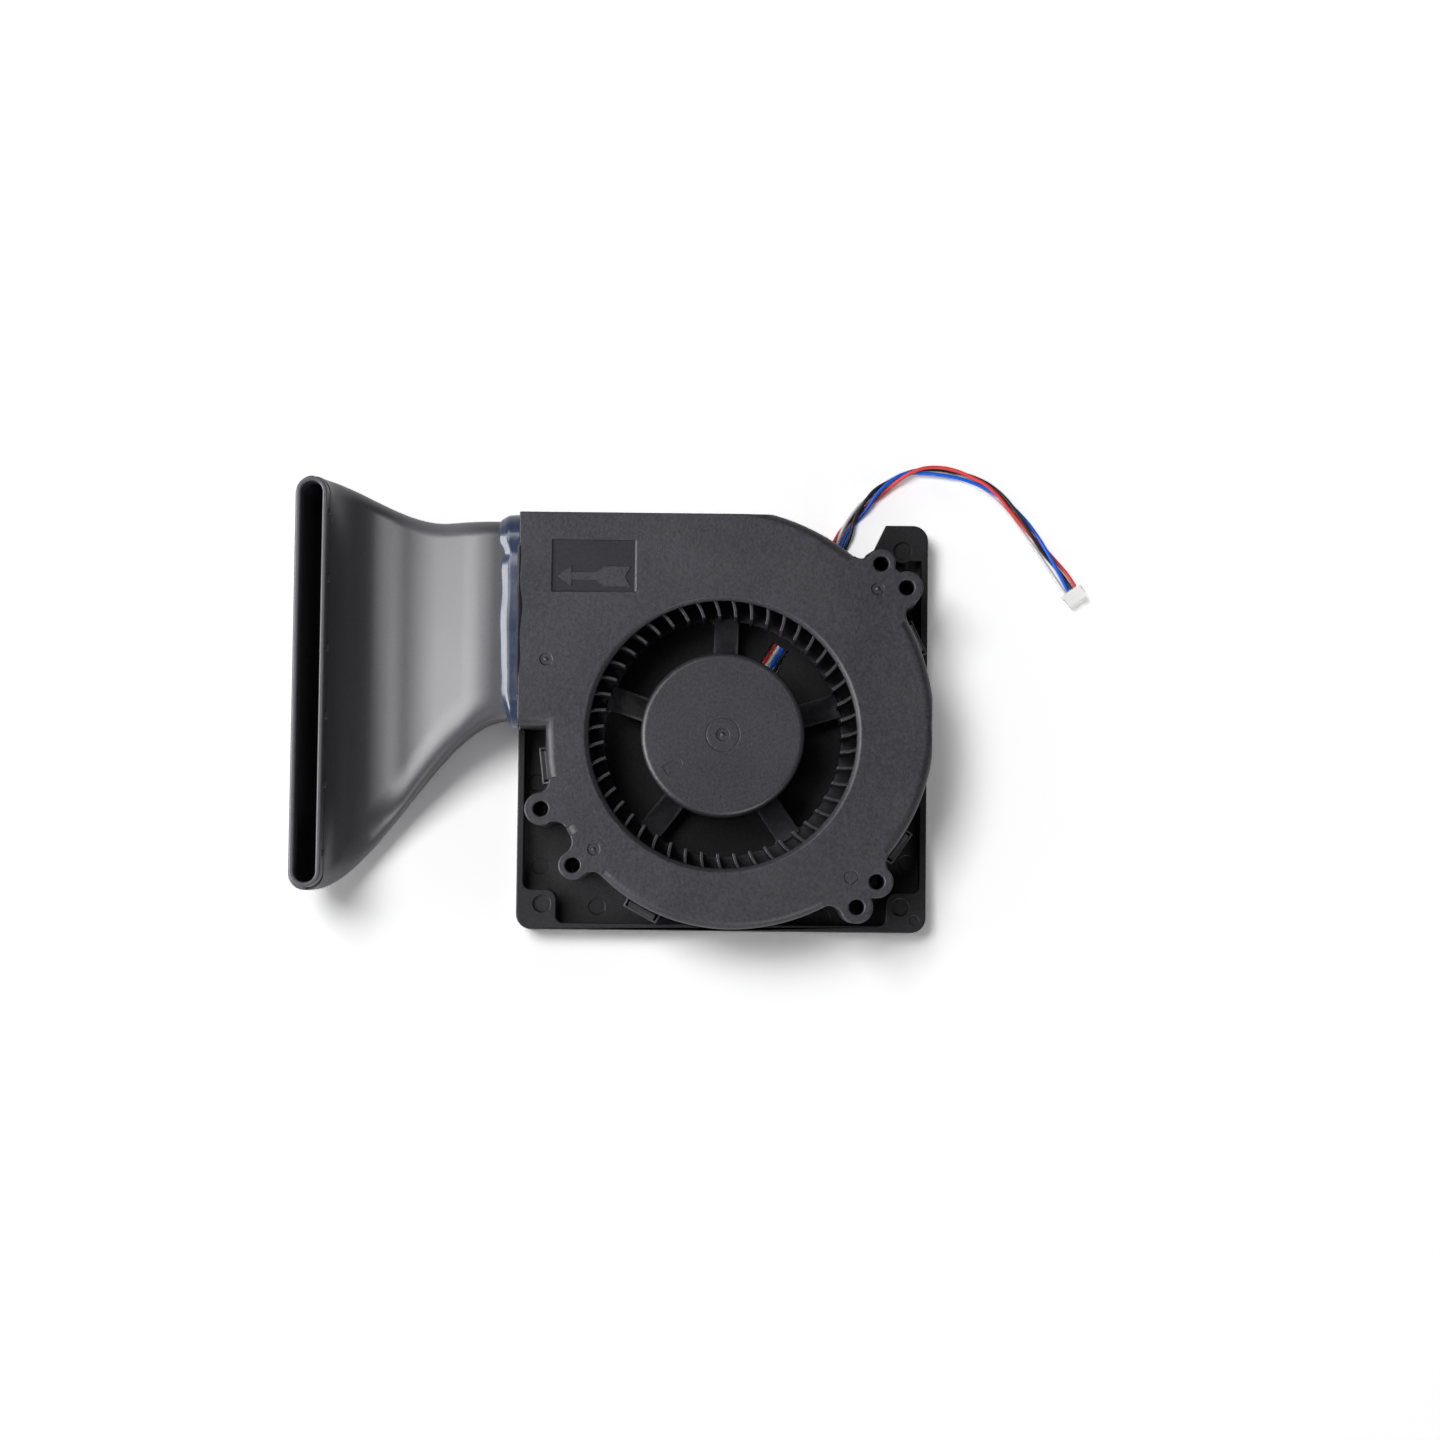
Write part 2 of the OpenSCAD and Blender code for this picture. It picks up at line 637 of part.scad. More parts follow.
module scroll_cover() {
    color(charcoal) difference() {
        union() {
            scroll_solid(0, floor_t, fan_h, scroll_edge_r, mouth_x);
            translate([0, 0, floor_t]) linear_extrude(fan_h - floor_t) lug_plan(0);
            for (angle = clip_angles) at_wall(angle) snap_loop();
        }
        scroll_solid(-cover_wall, 0, ceiling_z, 0, mouth_x - lap);
        translate([0, 0, ceiling_z - lap]) cylinder(d = inlet_d, h = fan_h);
        translate([0, 0, fan_h - inlet_bevel])
            cylinder(d1 = inlet_d, d2 = inlet_d + 4 * inlet_bevel, h = 2 * inlet_bevel);
        for (lug = lugs) translate([lug[0], lug[1], 0]) cylinder(d = lug_hole_d, h = fan_h + lap);
        translate([panel_corner[0], panel_corner[1], fan_h - panel_depth])
            cube([panel_size[0], panel_size[1], fan_h]);
        for (p = gate_places) translate(p) gate_cut(gate_d, fan_h);
        translate([cover_ejector[0], cover_ejector[1], fan_h - ejector_depth])
            cylinder(d = cover_ejector_d, h = rim_t);
    }
    color(charcoal) for (p = gate_places) translate(p) gate_stub(fan_h);
}

// Point of a blade's middle line: share 0 is its inner edge and share 1 its outer edge
function blade_point(share) =
    let (start = [blade_in_r, 0],
         finish = blade_out_r * [cos(blade_sweep), sin(blade_sweep)],
         run = unit(finish - start),
         bow = -4 * blade_bow * share * (1 - share))
    mix(start, finish, share) + bow * [-run[1], run[0]];
blade_steps = 6;

// Plan of one forward-curved blade
module blade_plan() {
    middle = [for (i = [0:blade_steps]) blade_point(i / blade_steps)];
    across = [for (i = [0:blade_steps])
        let (run = unit(blade_point((i + 0.5) / blade_steps) - blade_point((i - 0.5) / blade_steps)))
        blade_t / 2 * [-run[1], run[0]]];
    polygon(concat(
        [for (i = [0:blade_steps]) middle[i] + across[i]],
        [for (i = [blade_steps:-1:0]) middle[i] - across[i]]));
}

// Round corner between a spoke along +X and the inside of the ring
module spoke_corner(side) {
    across = spoke_w / 2 + spoke_fillet_r;
    reach = ring_in_r - spoke_fillet_r;
    middle = [sqrt(reach * reach - across * across), side * across];
    difference() {
        polygon([[middle[0], side * (spoke_w / 2 - lap)], middle, (ring_in_r + lap) * unit(middle),
                 [ring_in_r + lap, side * (spoke_w / 2 - lap)]]);
        translate(middle) circle(spoke_fillet_r + fillet_relief);
    }
}

module impeller() {
    color(dark_charcoal) {
        // Hub, a cup that opens downwards, with a gate recess, a fine ring and a pocket in its top
        difference() {
            rotate_extrude() difference() {
                edge_section(hub_r, impeller_z, hub_top, hub_edge_r);
                translate([0, impeller_z - lap])
                    square([hub_bore_r, hub_top - hub_roof - impeller_z + lap]);
                translate([hub_ring_d / 2, hub_top - hub_ring_depth]) square([hub_ring_w, lap]);
            }
            gate_cut(hub_gate_d, hub_top);
            translate([pocket_place[0], pocket_place[1], hub_top - pocket_depth]) rotate(pocket_turn)
                linear_extrude(lap) {
                    translate([-pocket_size[0] / 2, -pocket_size[1] / 2])
                        square([pocket_size[0] - pocket_size[1] / 2, pocket_size[1]]);
                    translate([(pocket_size[0] - pocket_size[1]) / 2, 0]) circle(d = pocket_size[1]);
                }
        }
        gate_stub(hub_top);
        // Spokes and the ring that carries the blades
        translate([0, 0, impeller_z]) {
            for (i = [0:spoke_count - 1]) rotate(spoke_turn + 360 * i / spoke_count) {
                translate([hub_r - hub_wall / 2, -spoke_w / 2, 0])
                    cube([ring_in_r + spoke_root - hub_r, spoke_w, spoke_t]);
                for (side = [-1, 1]) linear_extrude(ring_t - lap) spoke_corner(side);
            }
            difference() {
                cylinder(r = ring_out_r, h = ring_t);
                translate([0, 0, -lap]) cylinder(r = ring_in_r, h = ring_t + 2 * lap);
            }
        }
        // Blades, joined at their outer tops by a crown
        for (i = [0:blade_count - 1]) rotate(360 * i / blade_count)
            translate([0, 0, impeller_z + ring_t / 2])
                linear_extrude(blade_top - impeller_z - ring_t / 2) blade_plan();
        translate([0, 0, blade_top - crown_h - lap]) difference() {
            cylinder(r = ring_out_r, h = crown_h);
            translate([0, 0, -lap]) cylinder(r = ring_out_r - crown_w, h = crown_h + 2 * lap);
        }
    }
}

// Steel cup inside the hub, with a boss for the shaft
module rotor_yoke() {
    color(steel) rotate_extrude() {
        translate([yoke_r - yoke_t, yoke_low]) square([yoke_t, yoke_roof_z + yoke_t - yoke_low]);
        translate([shaft_r + fit_gap, yoke_roof_z]) square([yoke_r - shaft_r - fit_gap, yoke_t]);
        translate([shaft_r + fit_gap, boss_low]) square([shaft_boss_t, yoke_roof_z + yoke_t - boss_low]);
    }
}

module magnet_ring() {
    color([0.16, 0.15, 0.15]) translate([0, 0, magnet_z]) difference() {
        cylinder(r = magnet_r, h = magnet_h);
        translate([0, 0, -lap]) cylinder(r = stator_d / 2 + air_gap, h = magnet_h + 2 * lap);
    }
}

module rotor_shaft() {
    color(steel) difference() {
        translate([0, 0, shaft_low]) cylinder(r = shaft_r, h = yoke_roof_z + yoke_t - shaft_low);
        translate([0, 0, clip_low - fit_gap]) difference() {
            cylinder(r = shaft_d, h = clip_t + 2 * fit_gap);
            translate([0, 0, -lap]) cylinder(r = shaft_r - groove_depth, h = clip_t + 2 * lap);
        }
    }
}

// Open retaining clip in the groove at the lower end of the shaft
module shaft_clip() {
    color(steel) translate([0, 0, clip_low]) linear_extrude(clip_t) difference() {
        circle(shaft_r + clip_rim);
        circle(shaft_r - groove_depth + fit_gap);
        translate([0, -clip_mouth / 2]) square([shaft_d, clip_mouth]);
    }
}

// Coil spring that presses the upper bearing down
module preload_spring() {
    low = tube_top + fit_gap + spring_wire / 2;
    high = boss_low - fit_gap - spring_wire / 2;
    mean_r = shaft_r + spring_gap + spring_wire / 2;
    steps = 40;
    path = [for (i = [0:steps]) let (t = 360 * spring_turns * i / steps)
        [mean_r * cos(t), mean_r * sin(t), mix(low, high, i / steps)]];
    color(steel)
        tube_along(path, spring_wire, 6, unit(path[1] - path[0]), unit(path[steps] - path[steps - 1]));
}

// Outer and inner ring of a ball bearing with their ball grooves
module bearing_outer(z) {
    color(steel) translate([0, 0, z]) rotate_extrude() difference() {
        translate([pitch_r + race_land, 0]) square([bearing_d / 2 - pitch_r - race_land, bearing_w]);
        translate([pitch_r, bearing_w / 2]) circle(ball_r + ball_gap);
    }
}

module bearing_inner(z) {
    color(steel) translate([0, 0, z]) rotate_extrude() difference() {
        translate([shaft_r + fit_gap, 0]) square([pitch_r - race_land - shaft_r - fit_gap, bearing_w]);
        translate([pitch_r, bearing_w / 2]) circle(ball_r + ball_gap);
    }
}

// Balls and the cage that spaces them
module bearing_balls(z) {
    color(steel) translate([0, 0, z + bearing_w / 2]) {
        for (i = [0:ball_count - 1]) rotate(360 * i / ball_count)
            translate([pitch_r, 0, 0]) sphere(ball_r);
        difference() {
            cylinder(r = pitch_r + race_land - cage_gap, h = bearing_w * 0.4);
            translate([0, 0, -lap]) cylinder(r = pitch_r - race_land + cage_gap, h = bearing_w);
            for (i = [0:ball_count - 1]) rotate(360 * i / ball_count)
                translate([pitch_r, 0, 0]) sphere(ball_r + ball_gap);
        }
    }
}

module upper_bearing_outer() { bearing_outer(upper_bearing_z); }
module upper_bearing_inner() { bearing_inner(upper_bearing_z); }
module upper_bearing_balls() { bearing_balls(upper_bearing_z); }
module lower_bearing_outer() { bearing_outer(lower_bearing_z); }
module lower_bearing_inner() { bearing_inner(lower_bearing_z); }
module lower_bearing_balls() { bearing_balls(lower_bearing_z); }

// Tube on the base with a seat for a bearing at each end
module bearing_tube() {
    seat_r = bearing_d / 2 + fit_gap;
    color(brass) difference() {
        translate([0, 0, floor_t]) cylinder(d = tube_d, h = tube_top - floor_t);
        translate([0, 0, floor_t - lap])
            cylinder(r = seat_r, h = lower_bearing_z + bearing_w - floor_t + lap);
        translate([0, 0, upper_bearing_z]) cylinder(r = seat_r, h = tube_top);
        cylinder(r = seat_r - tube_step, h = fan_h);
    }
}

// Plan of the stator: a ring with necks that end in pole shoes
module stator_plan(shoe_r, neck, shoe_t) {
    difference() {
        union() {
            circle(tube_d / 2 + stator_hub_t);
            for (i = [0:pole_count - 1]) rotate(stator_turn + 360 * i / pole_count) {
                translate([0, -neck / 2]) square([shoe_r - shoe_t / 2, neck]);
                intersection() {
                    difference() {
                        circle(shoe_r);
                        circle(shoe_r - shoe_t);
                    }
                    polygon([[0, 0], [2 * shoe_r, -1.5 * shoe_r], [2 * shoe_r, 1.5 * shoe_r]]);
                }
            }
        }
        circle(tube_d / 2 + fit_gap);
    }
}

module stator_core() {
    color(steel) translate([0, 0, stack_z])
        linear_extrude(stack_h) stator_plan(stator_d / 2, neck_w, shoe_t);
}

// Plan of an insulator plate, which lies a little inside the stator's outline
module insulator_plan() {
    stator_plan(stator_d / 2 - insulator_inset, neck_w, shoe_t - insulator_inset);
}

module upper_insulator() {
    color(white) translate([0, 0, stack_z + stack_h])
        linear_extrude(insulator_t) insulator_plan();
}

// The lower insulator stands on the circuit board
module lower_insulator() {
    color(white) {
        translate([0, 0, stack_z - insulator_t])
            linear_extrude(insulator_t) insulator_plan();
        translate([0, 0, board_z + board_t]) difference() {
            cylinder(r = tube_d / 2 + stator_hub_t - insulator_inset, h = stack_gap - insulator_t / 2);
            translate([0, 0, -lap]) cylinder(r = tube_d / 2 + fit_gap, h = stack_z);
        }
    }
}

// One winding around each pole
module stator_coils() {
    inner = tube_d / 2 + stator_hub_t + coil_gap;
    length = stator_d / 2 - shoe_t - coil_gap - inner;
    hole_h = stack_h + 2 * insulator_t;
    color(copper) for (i = [0:pole_count - 1]) rotate(stator_turn + 360 * i / pole_count)
        translate([inner, 0, stack_z - insulator_t]) rotate([90, 0, 90]) linear_extrude(length)
            difference() {
                round_square([-neck_w / 2 - coil_t, -coil_t], [neck_w / 2 + coil_t, hole_h + coil_t], coil_t);
                translate([-neck_w / 2 - fit_gap, -fit_gap])
                    square([neck_w + 2 * fit_gap, hole_h + 2 * fit_gap]);
            }
}

module circuit_board() {
    color(board_green) translate([0, 0, board_z]) difference() {
        cylinder(d = board_d, h = board_t);
        translate([0, 0, -lap]) cylinder(r = tube_d / 2 + fit_gap, h = board_t + 2 * lap);
    }
}

module hall_sensor() {
    color(black) translate([stator_d / 2 - 2, -2, board_z + board_t]) cube([1.6, 4, chip_h]);
}

module driver_chip() {
    color(black) rotate(200) translate([stator_d / 2 - 1.5, -2.5, board_z + board_t]) cube([3, 5, chip_h]);
}

// Two small round capacitors on the board
module board_capacitors() {
    color(steel) for (angle = [120, 280]) rotate(angle)
        translate([stator_d / 2 + 0.5, 0, board_z + board_t]) cylinder(d = 2.6, h = chip_h);
}

// Edges of the nozzle seen from above, at a distance along it from the outlet mouth
function edge_high(l) = base_top - cover_wall - spigot_gap
    + flare_high * smooth((l - flare_high_l) / (flare_end_l - flare_high_l));
function edge_low(l) = outlet_low + cover_wall + spigot_gap
    - flare_low * smooth((l - flare_low_l) / (flare_end_l - flare_low_l));
nozzle_low = floor_t + spigot_gap;
nozzle_high = ceiling_z - spigot_gap;
bend_z = nozzle_low + valley_h + bend_r;
fall_start_l = 7;
function roof_z(l) =
    mix(nozzle_high, nozzle_low + valley_h, smooth((l - fall_start_l) / (valley_l - fall_start_l)));

// Stations along the nozzle: distance of the middle from the mouth, height of the middle,
// turn of the section, and half thickness
straight_steps = 11;
bend_steps = 12;
upper_turn = 84;
collar_joint = 0.2;
function bend_thickness(turn) =
    mix(valley_h, collar_t + collar_joint, turn / 90) + bend_bulge * sin(180 * pow(turn / 90, 2));
function straight_station(l) = [l, (roof_z(l) + nozzle_low) / 2, 0, (roof_z(l) - nozzle_low) / 2];
function bend_station(turn) =
    let (middle = bend_r + bend_thickness(turn) / 2)
    [valley_l + middle * sin(turn), bend_z - middle * cos(turn), turn, bend_thickness(turn) / 2];
function stations(last_turn) = concat(
    [straight_station(-spigot_l)],
    [for (i = [0:straight_steps - 1]) straight_station(mix(0.01, valley_l, i / straight_steps))],
    [for (i = [0:bend_steps]) bend_station(last_turn * i / bend_steps)]);

// Half of a nozzle section, from one side over the crown to the other, inset by a wall
arc_steps = 5;
function half_section(low, high, half_t, inset) =
    let (edge = min(shell_edge_r, half_t - seam_gap - 0.25),
         r = edge - inset, y0 = low + inset, y1 = high - inset, v1 = half_t - inset)
    concat(
        [[y0, seam_gap / 2]],
        [for (i = [0:arc_steps]) let (a = 90 * i / arc_steps) [y0 + r - r * cos(a), v1 - r + r * sin(a)]],
        [for (i = [0:arc_steps]) let (a = 90 * i / arc_steps) [y1 - r + r * sin(a), v1 - r + r * cos(a)]],
        [[y1, seam_gap / 2]]);

// One shell of the nozzle: side 1 is the upper shell and side -1 the lower one
module nozzle_shell(side, last_turn) {
    path = stations(last_turn);
    half_count = 2 * arc_steps + 4;
    points = [for (s = path)
        let (outer = half_section(edge_low(s[0]), edge_high(s[0]), s[3], 0),
             inner = half_section(edge_low(s[0]), edge_high(s[0]), s[3], shell_t),
             ring = concat(outer, [for (i = [half_count - 1:-1:0]) inner[i]]))
        for (p = ring)
            let (v = side * p[1])
            [mouth_x - s[0] + v * sin(s[2]), p[0], s[1] + v * cos(s[2])]];
    sides = 2 * half_count;
    rings = len(path);
    last_ring = (rings - 1) * sides;
    walls = [for (f = tube_faces(rings, sides)) if (len(f) == 3) f];
    caps = concat(
        [for (j = [0:half_count - 2]) [j, sides - 1 - j, sides - 2 - j, j + 1]],
        [for (j = [0:half_count - 2])
            [last_ring + j + 1, last_ring + sides - 2 - j, last_ring + sides - 1 - j, last_ring + j]]);
    faces = concat(walls, caps);
    polyhedron(points, side < 0 ? faces : [for (f = faces) [for (k = [len(f) - 1:-1:0]) f[k]]], 10);
}

collar_left = mouth_x - valley_l - bend_r - collar_t;
collar_lap = 0.7;
collar_low_z = bend_z - collar_lap;
collar_high_z = bend_z + collar_h;
collar_y0 = edge_low(flare_end_l) + collar_inset;
collar_y1 = edge_high(flare_end_l) - collar_inset;
nub_size = [0.8, 2, 2.2];

// Plan of the slot collar's outline, inset by a wall
module collar_plan(inset) {
    round_square([collar_left + inset, collar_y0 + inset],
                 [collar_left + collar_t - inset, collar_y1 - inset], collar_t / 2 - inset - 0.01);
}

module nozzle_upper_shell() {
    color([0.36, 0.36, 0.375]) nozzle_shell(1, upper_turn);
}

module nozzle_lower_shell() {
    color([0.3, 0.3, 0.315]) {
        nozzle_shell(-1, 90);
        translate([0, 0, collar_low_z]) linear_extrude(collar_high_z - collar_low_z) difference() {
            collar_plan(0);
            collar_plan(collar_wall);
        }
        for (i = [0:nub_count - 1])
            translate([collar_left + collar_t - lap, (collar_y0 + collar_y1) / 2
                       + nub_pitch * (i - (nub_count - 1) / 2) - nub_size[1] / 2, bend_z])
                cube([lap + nub_size[0], nub_size[1], nub_size[2]]);
    }
}

// Bead of glue in the corner between the nozzle's roof and the outlet
module glue_bead() {
    bead_w = 4.4;
    color(glue_blue) translate([mouth_x, base_top - cover_wall, nozzle_high]) rotate([90, 0, 0])
        linear_extrude(base_top - outlet_low - 2 * cover_wall)
            polygon([[0, 0], [0, fan_h - nozzle_high - 0.3], [-bead_w * 0.35, fan_h - nozzle_high - 0.7],
                     [-bead_w * 0.75, 0.9], [-bead_w, 0]]);
}

// Path of one lead from the circuit board to the edge of the base
module lead(name) {
    across = lead_pitch * (1.5 - place_in(lead_order, name));
    solder_z = board_z - wire_d / 2;
    run = norm(channel_run);
    slot_end = slot_start + slot_l;
    path = [[slot_start - 3.5, across, solder_z], [slot_start - 1, across, solder_z],
            [slot_start + 1.5, across, solder_z - 0.6], [slot_end - 3, across, lead_z + 0.2],
            [slot_end - 1, across, lead_z], [run, across, lead_z]];
    translate(channel_start) rotate(channel_angle) tube_along(path, wire_d, 8, [1, 0, 0], [1, 0, 0]);
}

// Points of one wire: in a row with the others at both ends, and loosely laid between them
function wire_points(name) =
    let (lane = place_in(lead_order, name), scale = wire_d / laid_wire_d)
    [for (i = [0:route_last])
        let (run = unit(i == 0 ? channel_run : wire_route[min(i + 1, route_last)] - wire_route[i - 1]),
             place = i == 0 ? [lead_pitch * (1.5 - lane), lead_z]
                   : i == route_last ? [pin_pitch * (1.5 - place_in(pin_order, name)), connector_size[2] / 2]
                   : scale * wire_lay[i - 1][lane],
             p = wire_route[i] + place[0] * [-run[1], run[0]])
        [p[0], p[1], place[1]]];

// Smooth curve through points, at share of the way from point i to the next one
function curve_point(points, i, share) =
    let (last = len(points) - 1,
         before = points[max(i - 1, 0)], start = points[i],
         finish = points[min(i + 1, last)], after = points[min(i + 2, last)])
    start + share / 2 * (finish - before
        + share * (2 * before - 5 * start + 4 * finish - after
        + share * (3 * start - before - 3 * finish + after)));

module wire(name) {
    points = wire_points(name);
    path = concat(
        [for (i = [0:route_last - 1], half = [0, 1]) curve_point(points, i, half / 2)],
        [points[route_last]]);
    tube_along(path, wire_d, 8, unit([channel_run[0], channel_run[1], 0]),
               unit([connector_run[0], connector_run[1], 0]));
}

module lead_red() { color(red) lead("red"); }
module lead_white() { color(white) lead("white"); }
module lead_blue() { color(blue) lead("blue"); }
module lead_black() { color(black) lead("black"); }
module wire_red() { color(red) wire("red"); }
module wire_white() { color(white) wire("white"); }
module wire_blue() { color(blue) wire("blue"); }
module wire_black() { color(black) wire("black"); }

// Frame of the connector: +X along the wires, out of the connector's open end
module at_connector() {
    translate(wire_route[route_last]) rotate(connector_angle) children();
}
pin_w = 0.7;
pin_h = 1;
pin_gap = 0.1;
socket_wall = 0.6;
socket_z = connector_size[2] / 2 - pin_h / 2 - pin_gap;
function pin_y(i) = pin_pitch * (i - 1.5);

module connector_housing() {
    wide = connector_size[0];
    long = connector_size[1];
    high = connector_size[2];
    color(white) at_connector() difference() {
        union() {
            translate([0, -wide / 2 + 0.5, 0]) cube([long, wide - 1, high]);
            translate([0, -wide / 2, 0.4]) cube([1.3, wide, high - 0.8]);
            translate([0, -wide / 2 + 0.2, 0]) cube([0.9, wide - 0.4, high]);
        }
        for (i = [0:3])
            translate([socket_wall, pin_y(i) - pin_w / 2 - pin_gap, socket_z])
                cube([long, pin_w + 2 * pin_gap, pin_h + 2 * pin_gap]);
    }
}

// Metal contacts, resting in the floors of the sockets
module connector_terminals() {
    color(brass) at_connector() for (i = [0:3])
        translate([socket_wall, pin_y(i) - pin_w / 2, socket_z])
            cube([connector_size[1] - 2 * socket_wall, pin_w, pin_h / 2]);
}

base_tray();
scroll_cover();
impeller();
rotor_yoke();
magnet_ring();
rotor_shaft();
shaft_clip();
preload_spring();
upper_bearing_outer();
upper_bearing_inner();
upper_bearing_balls();
lower_bearing_outer();
lower_bearing_inner();
lower_bearing_balls();
bearing_tube();
stator_core();
upper_insulator();
lower_insulator();
stator_coils();
circuit_board();
hall_sensor();
driver_chip();
board_capacitors();
nozzle_upper_shell();
nozzle_lower_shell();
glue_bead();
lead_red();
lead_white();
lead_blue();
lead_black();
wire_red();
wire_white();
wire_blue();
wire_black();
connector_housing();
connector_terminals();
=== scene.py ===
"""Looks of a centrifugal cooling fan with a fishtail slot nozzle: finishes, wires, glue, light and camera.

Sizes and places are in millimetres in the frame of the solids, and become metres when a mesh is made.
"""

import json
import math

import bmesh
import bpy
import numpy as np
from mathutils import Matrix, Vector


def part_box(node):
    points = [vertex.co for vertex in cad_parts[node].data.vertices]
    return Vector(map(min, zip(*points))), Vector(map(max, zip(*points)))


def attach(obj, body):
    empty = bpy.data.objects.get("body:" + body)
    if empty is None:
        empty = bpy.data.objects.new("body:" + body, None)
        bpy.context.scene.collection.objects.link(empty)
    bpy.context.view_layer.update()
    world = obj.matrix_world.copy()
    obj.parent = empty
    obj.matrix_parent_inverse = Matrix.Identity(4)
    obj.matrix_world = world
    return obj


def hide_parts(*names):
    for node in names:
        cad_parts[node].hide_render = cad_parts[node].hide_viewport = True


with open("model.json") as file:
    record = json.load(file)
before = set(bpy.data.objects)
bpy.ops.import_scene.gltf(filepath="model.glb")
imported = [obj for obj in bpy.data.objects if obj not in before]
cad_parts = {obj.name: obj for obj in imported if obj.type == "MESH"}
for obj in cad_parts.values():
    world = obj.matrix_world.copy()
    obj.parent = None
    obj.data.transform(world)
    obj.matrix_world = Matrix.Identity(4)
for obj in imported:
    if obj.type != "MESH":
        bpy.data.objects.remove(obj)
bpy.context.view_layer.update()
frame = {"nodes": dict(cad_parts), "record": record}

MM = 0.001
HOUSING = "housing"
ROTOR = "rotor"
SHARP_EDGE = math.radians(40.0)
FLAT_ENOUGH = math.radians(0.6)
MERGE_DISTANCE = 0.002
ROUNDING_STEPS = 3


def box_mm(node):
    """Lowest and highest corner of a solid, in millimetres."""
    low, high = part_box(node)
    return np.array(low) / MM, np.array(high) / MM


_, tray_high = box_mm("base_tray")
cover_low, cover_high = box_mm("scroll_cover")


# Camera, above the fan and tilted a few degrees off straight down

LENS = 72.5
SENSOR = 36.0
CAMERA_PLACE = np.array([-0.26, -47.3, 860.0])
CAMERA_AIM = np.array([-0.85, 6.0, 0.0])
# Nearest and farthest distance that the camera sees, in metres
CLIP_NEAR = 0.01
CLIP_FAR = 100.0


def make_camera():
    """One camera of the photo's view, with no shift."""
    data = bpy.data.cameras.new("camera")
    data.lens = LENS
    data.sensor_width = SENSOR
    data.clip_start = CLIP_NEAR
    data.clip_end = CLIP_FAR
    camera = bpy.data.objects.new("camera", data)
    bpy.context.scene.collection.objects.link(camera)
    camera.location = Vector(CAMERA_PLACE * MM)
    camera.rotation_mode = "QUATERNION"
    camera.rotation_quaternion = Vector(CAMERA_AIM - CAMERA_PLACE).to_track_quat("-Z", "Y")
    bpy.context.scene.camera = camera


make_camera()


# General mesh helpers


def smooth_step(t):
    """Eases from 0 to 1: 3c^2 - 2c^3 of t held between 0 and 1."""
    c = np.clip(t, 0.0, 1.0)
    return c * c * (3.0 - 2.0 * c)


def soft_ramp(t, b):
    """Rises from 0 to 1 at an even slope, eased over the share b at both ends: t^2 / (2b (1 - b)) there."""
    c = np.clip(t, 0.0, 1.0)
    bend = 2.0 * b * (1.0 - b)
    straight = (c - b / 2) / (1.0 - b)
    return np.where(c < b, c ** 2 / bend, np.where(c > 1.0 - b, 1.0 - (1.0 - c) ** 2 / bend, straight))


def mix(a, b, t):
    """Straight blend of a and b."""
    return a + (b - a) * t


def grid_faces(rows, columns, wrap):
    """Four-sided faces of a grid of points, row after row. With wrap, the last column joins the first."""
    row = np.arange(rows - 1)[:, None]
    column = np.arange(columns if wrap else columns - 1)[None, :]
    after = (column + 1) % columns
    corners = [row * columns + column, row * columns + after,
               (row + 1) * columns + after, (row + 1) * columns + column]
    return np.stack([c.ravel() for c in corners], axis=1).tolist()


def end_faces(rows, columns):
    """The flat faces that close the first and the last ring of a tube."""
    return [list(range(columns))[::-1], [(rows - 1) * columns + i for i in range(columns)]]


def signed_volume(points, faces):
    """Volume inside a closed mesh, negative where its faces point inwards."""
    triangles = np.array([[f[0], f[i], f[i + 1]] for f in faces for i in range(1, len(f) - 1)])
    a, b, c = (points[triangles[:, i]] for i in range(3))
    return float(np.einsum("ij,ij->i", a, np.cross(b, c)).sum()) / 6.0


def mesh_piece(name, shells, material, body, sharp_angle=35.0):
    """Joins closed shells, each (points in millimetres, faces), into one piece with outward faces."""
    all_points, all_faces, start = [], [], 0
    for points, faces in shells:
        points = np.asarray(points, float).reshape(-1, 3)
        outward = signed_volume(points, faces) > 0.0
        all_faces += [[start + i for i in (f if outward else f[::-1])] for f in faces]
        all_points.append(points)
        start += len(points)
    mesh = bpy.data.meshes.new(name)
    mesh.from_pydata((np.concatenate(all_points) * MM).tolist(), [], all_faces)
    mesh.polygons.foreach_set("use_smooth", np.ones(len(mesh.polygons), bool))
    mesh.set_sharp_from_angle(angle=math.radians(sharp_angle))
    mesh.materials.append(material)
    mesh.update()
    piece = bpy.data.objects.new(name, mesh)
    bpy.context.scene.collection.objects.link(piece)
    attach(piece, body)
    return piece


def round_edges(piece, width):
    """Rounds the outer sharp edges of a piece, and keeps its flat faces flat."""
    edit = bmesh.new()
    edit.from_mesh(piece.data)
    marks = edit.edges.layers.float.new("bevel_weight_edge")
    for edge in edit.edges:
        edge[marks] = float(edge.is_convex and edge.calc_face_angle(0.0) > SHARP_EDGE)
    edit.to_mesh(piece.data)
    edit.free()
    bevel = piece.modifiers.new("round_edges", "BEVEL")
    bevel.width = width * MM
    bevel.segments = ROUNDING_STEPS
    bevel.limit_method = "WEIGHT"
    bevel.use_clamp_overlap = False
    flat = piece.modifiers.new("flat_faces", "WEIGHTED_NORMAL")
    flat.keep_sharp = True


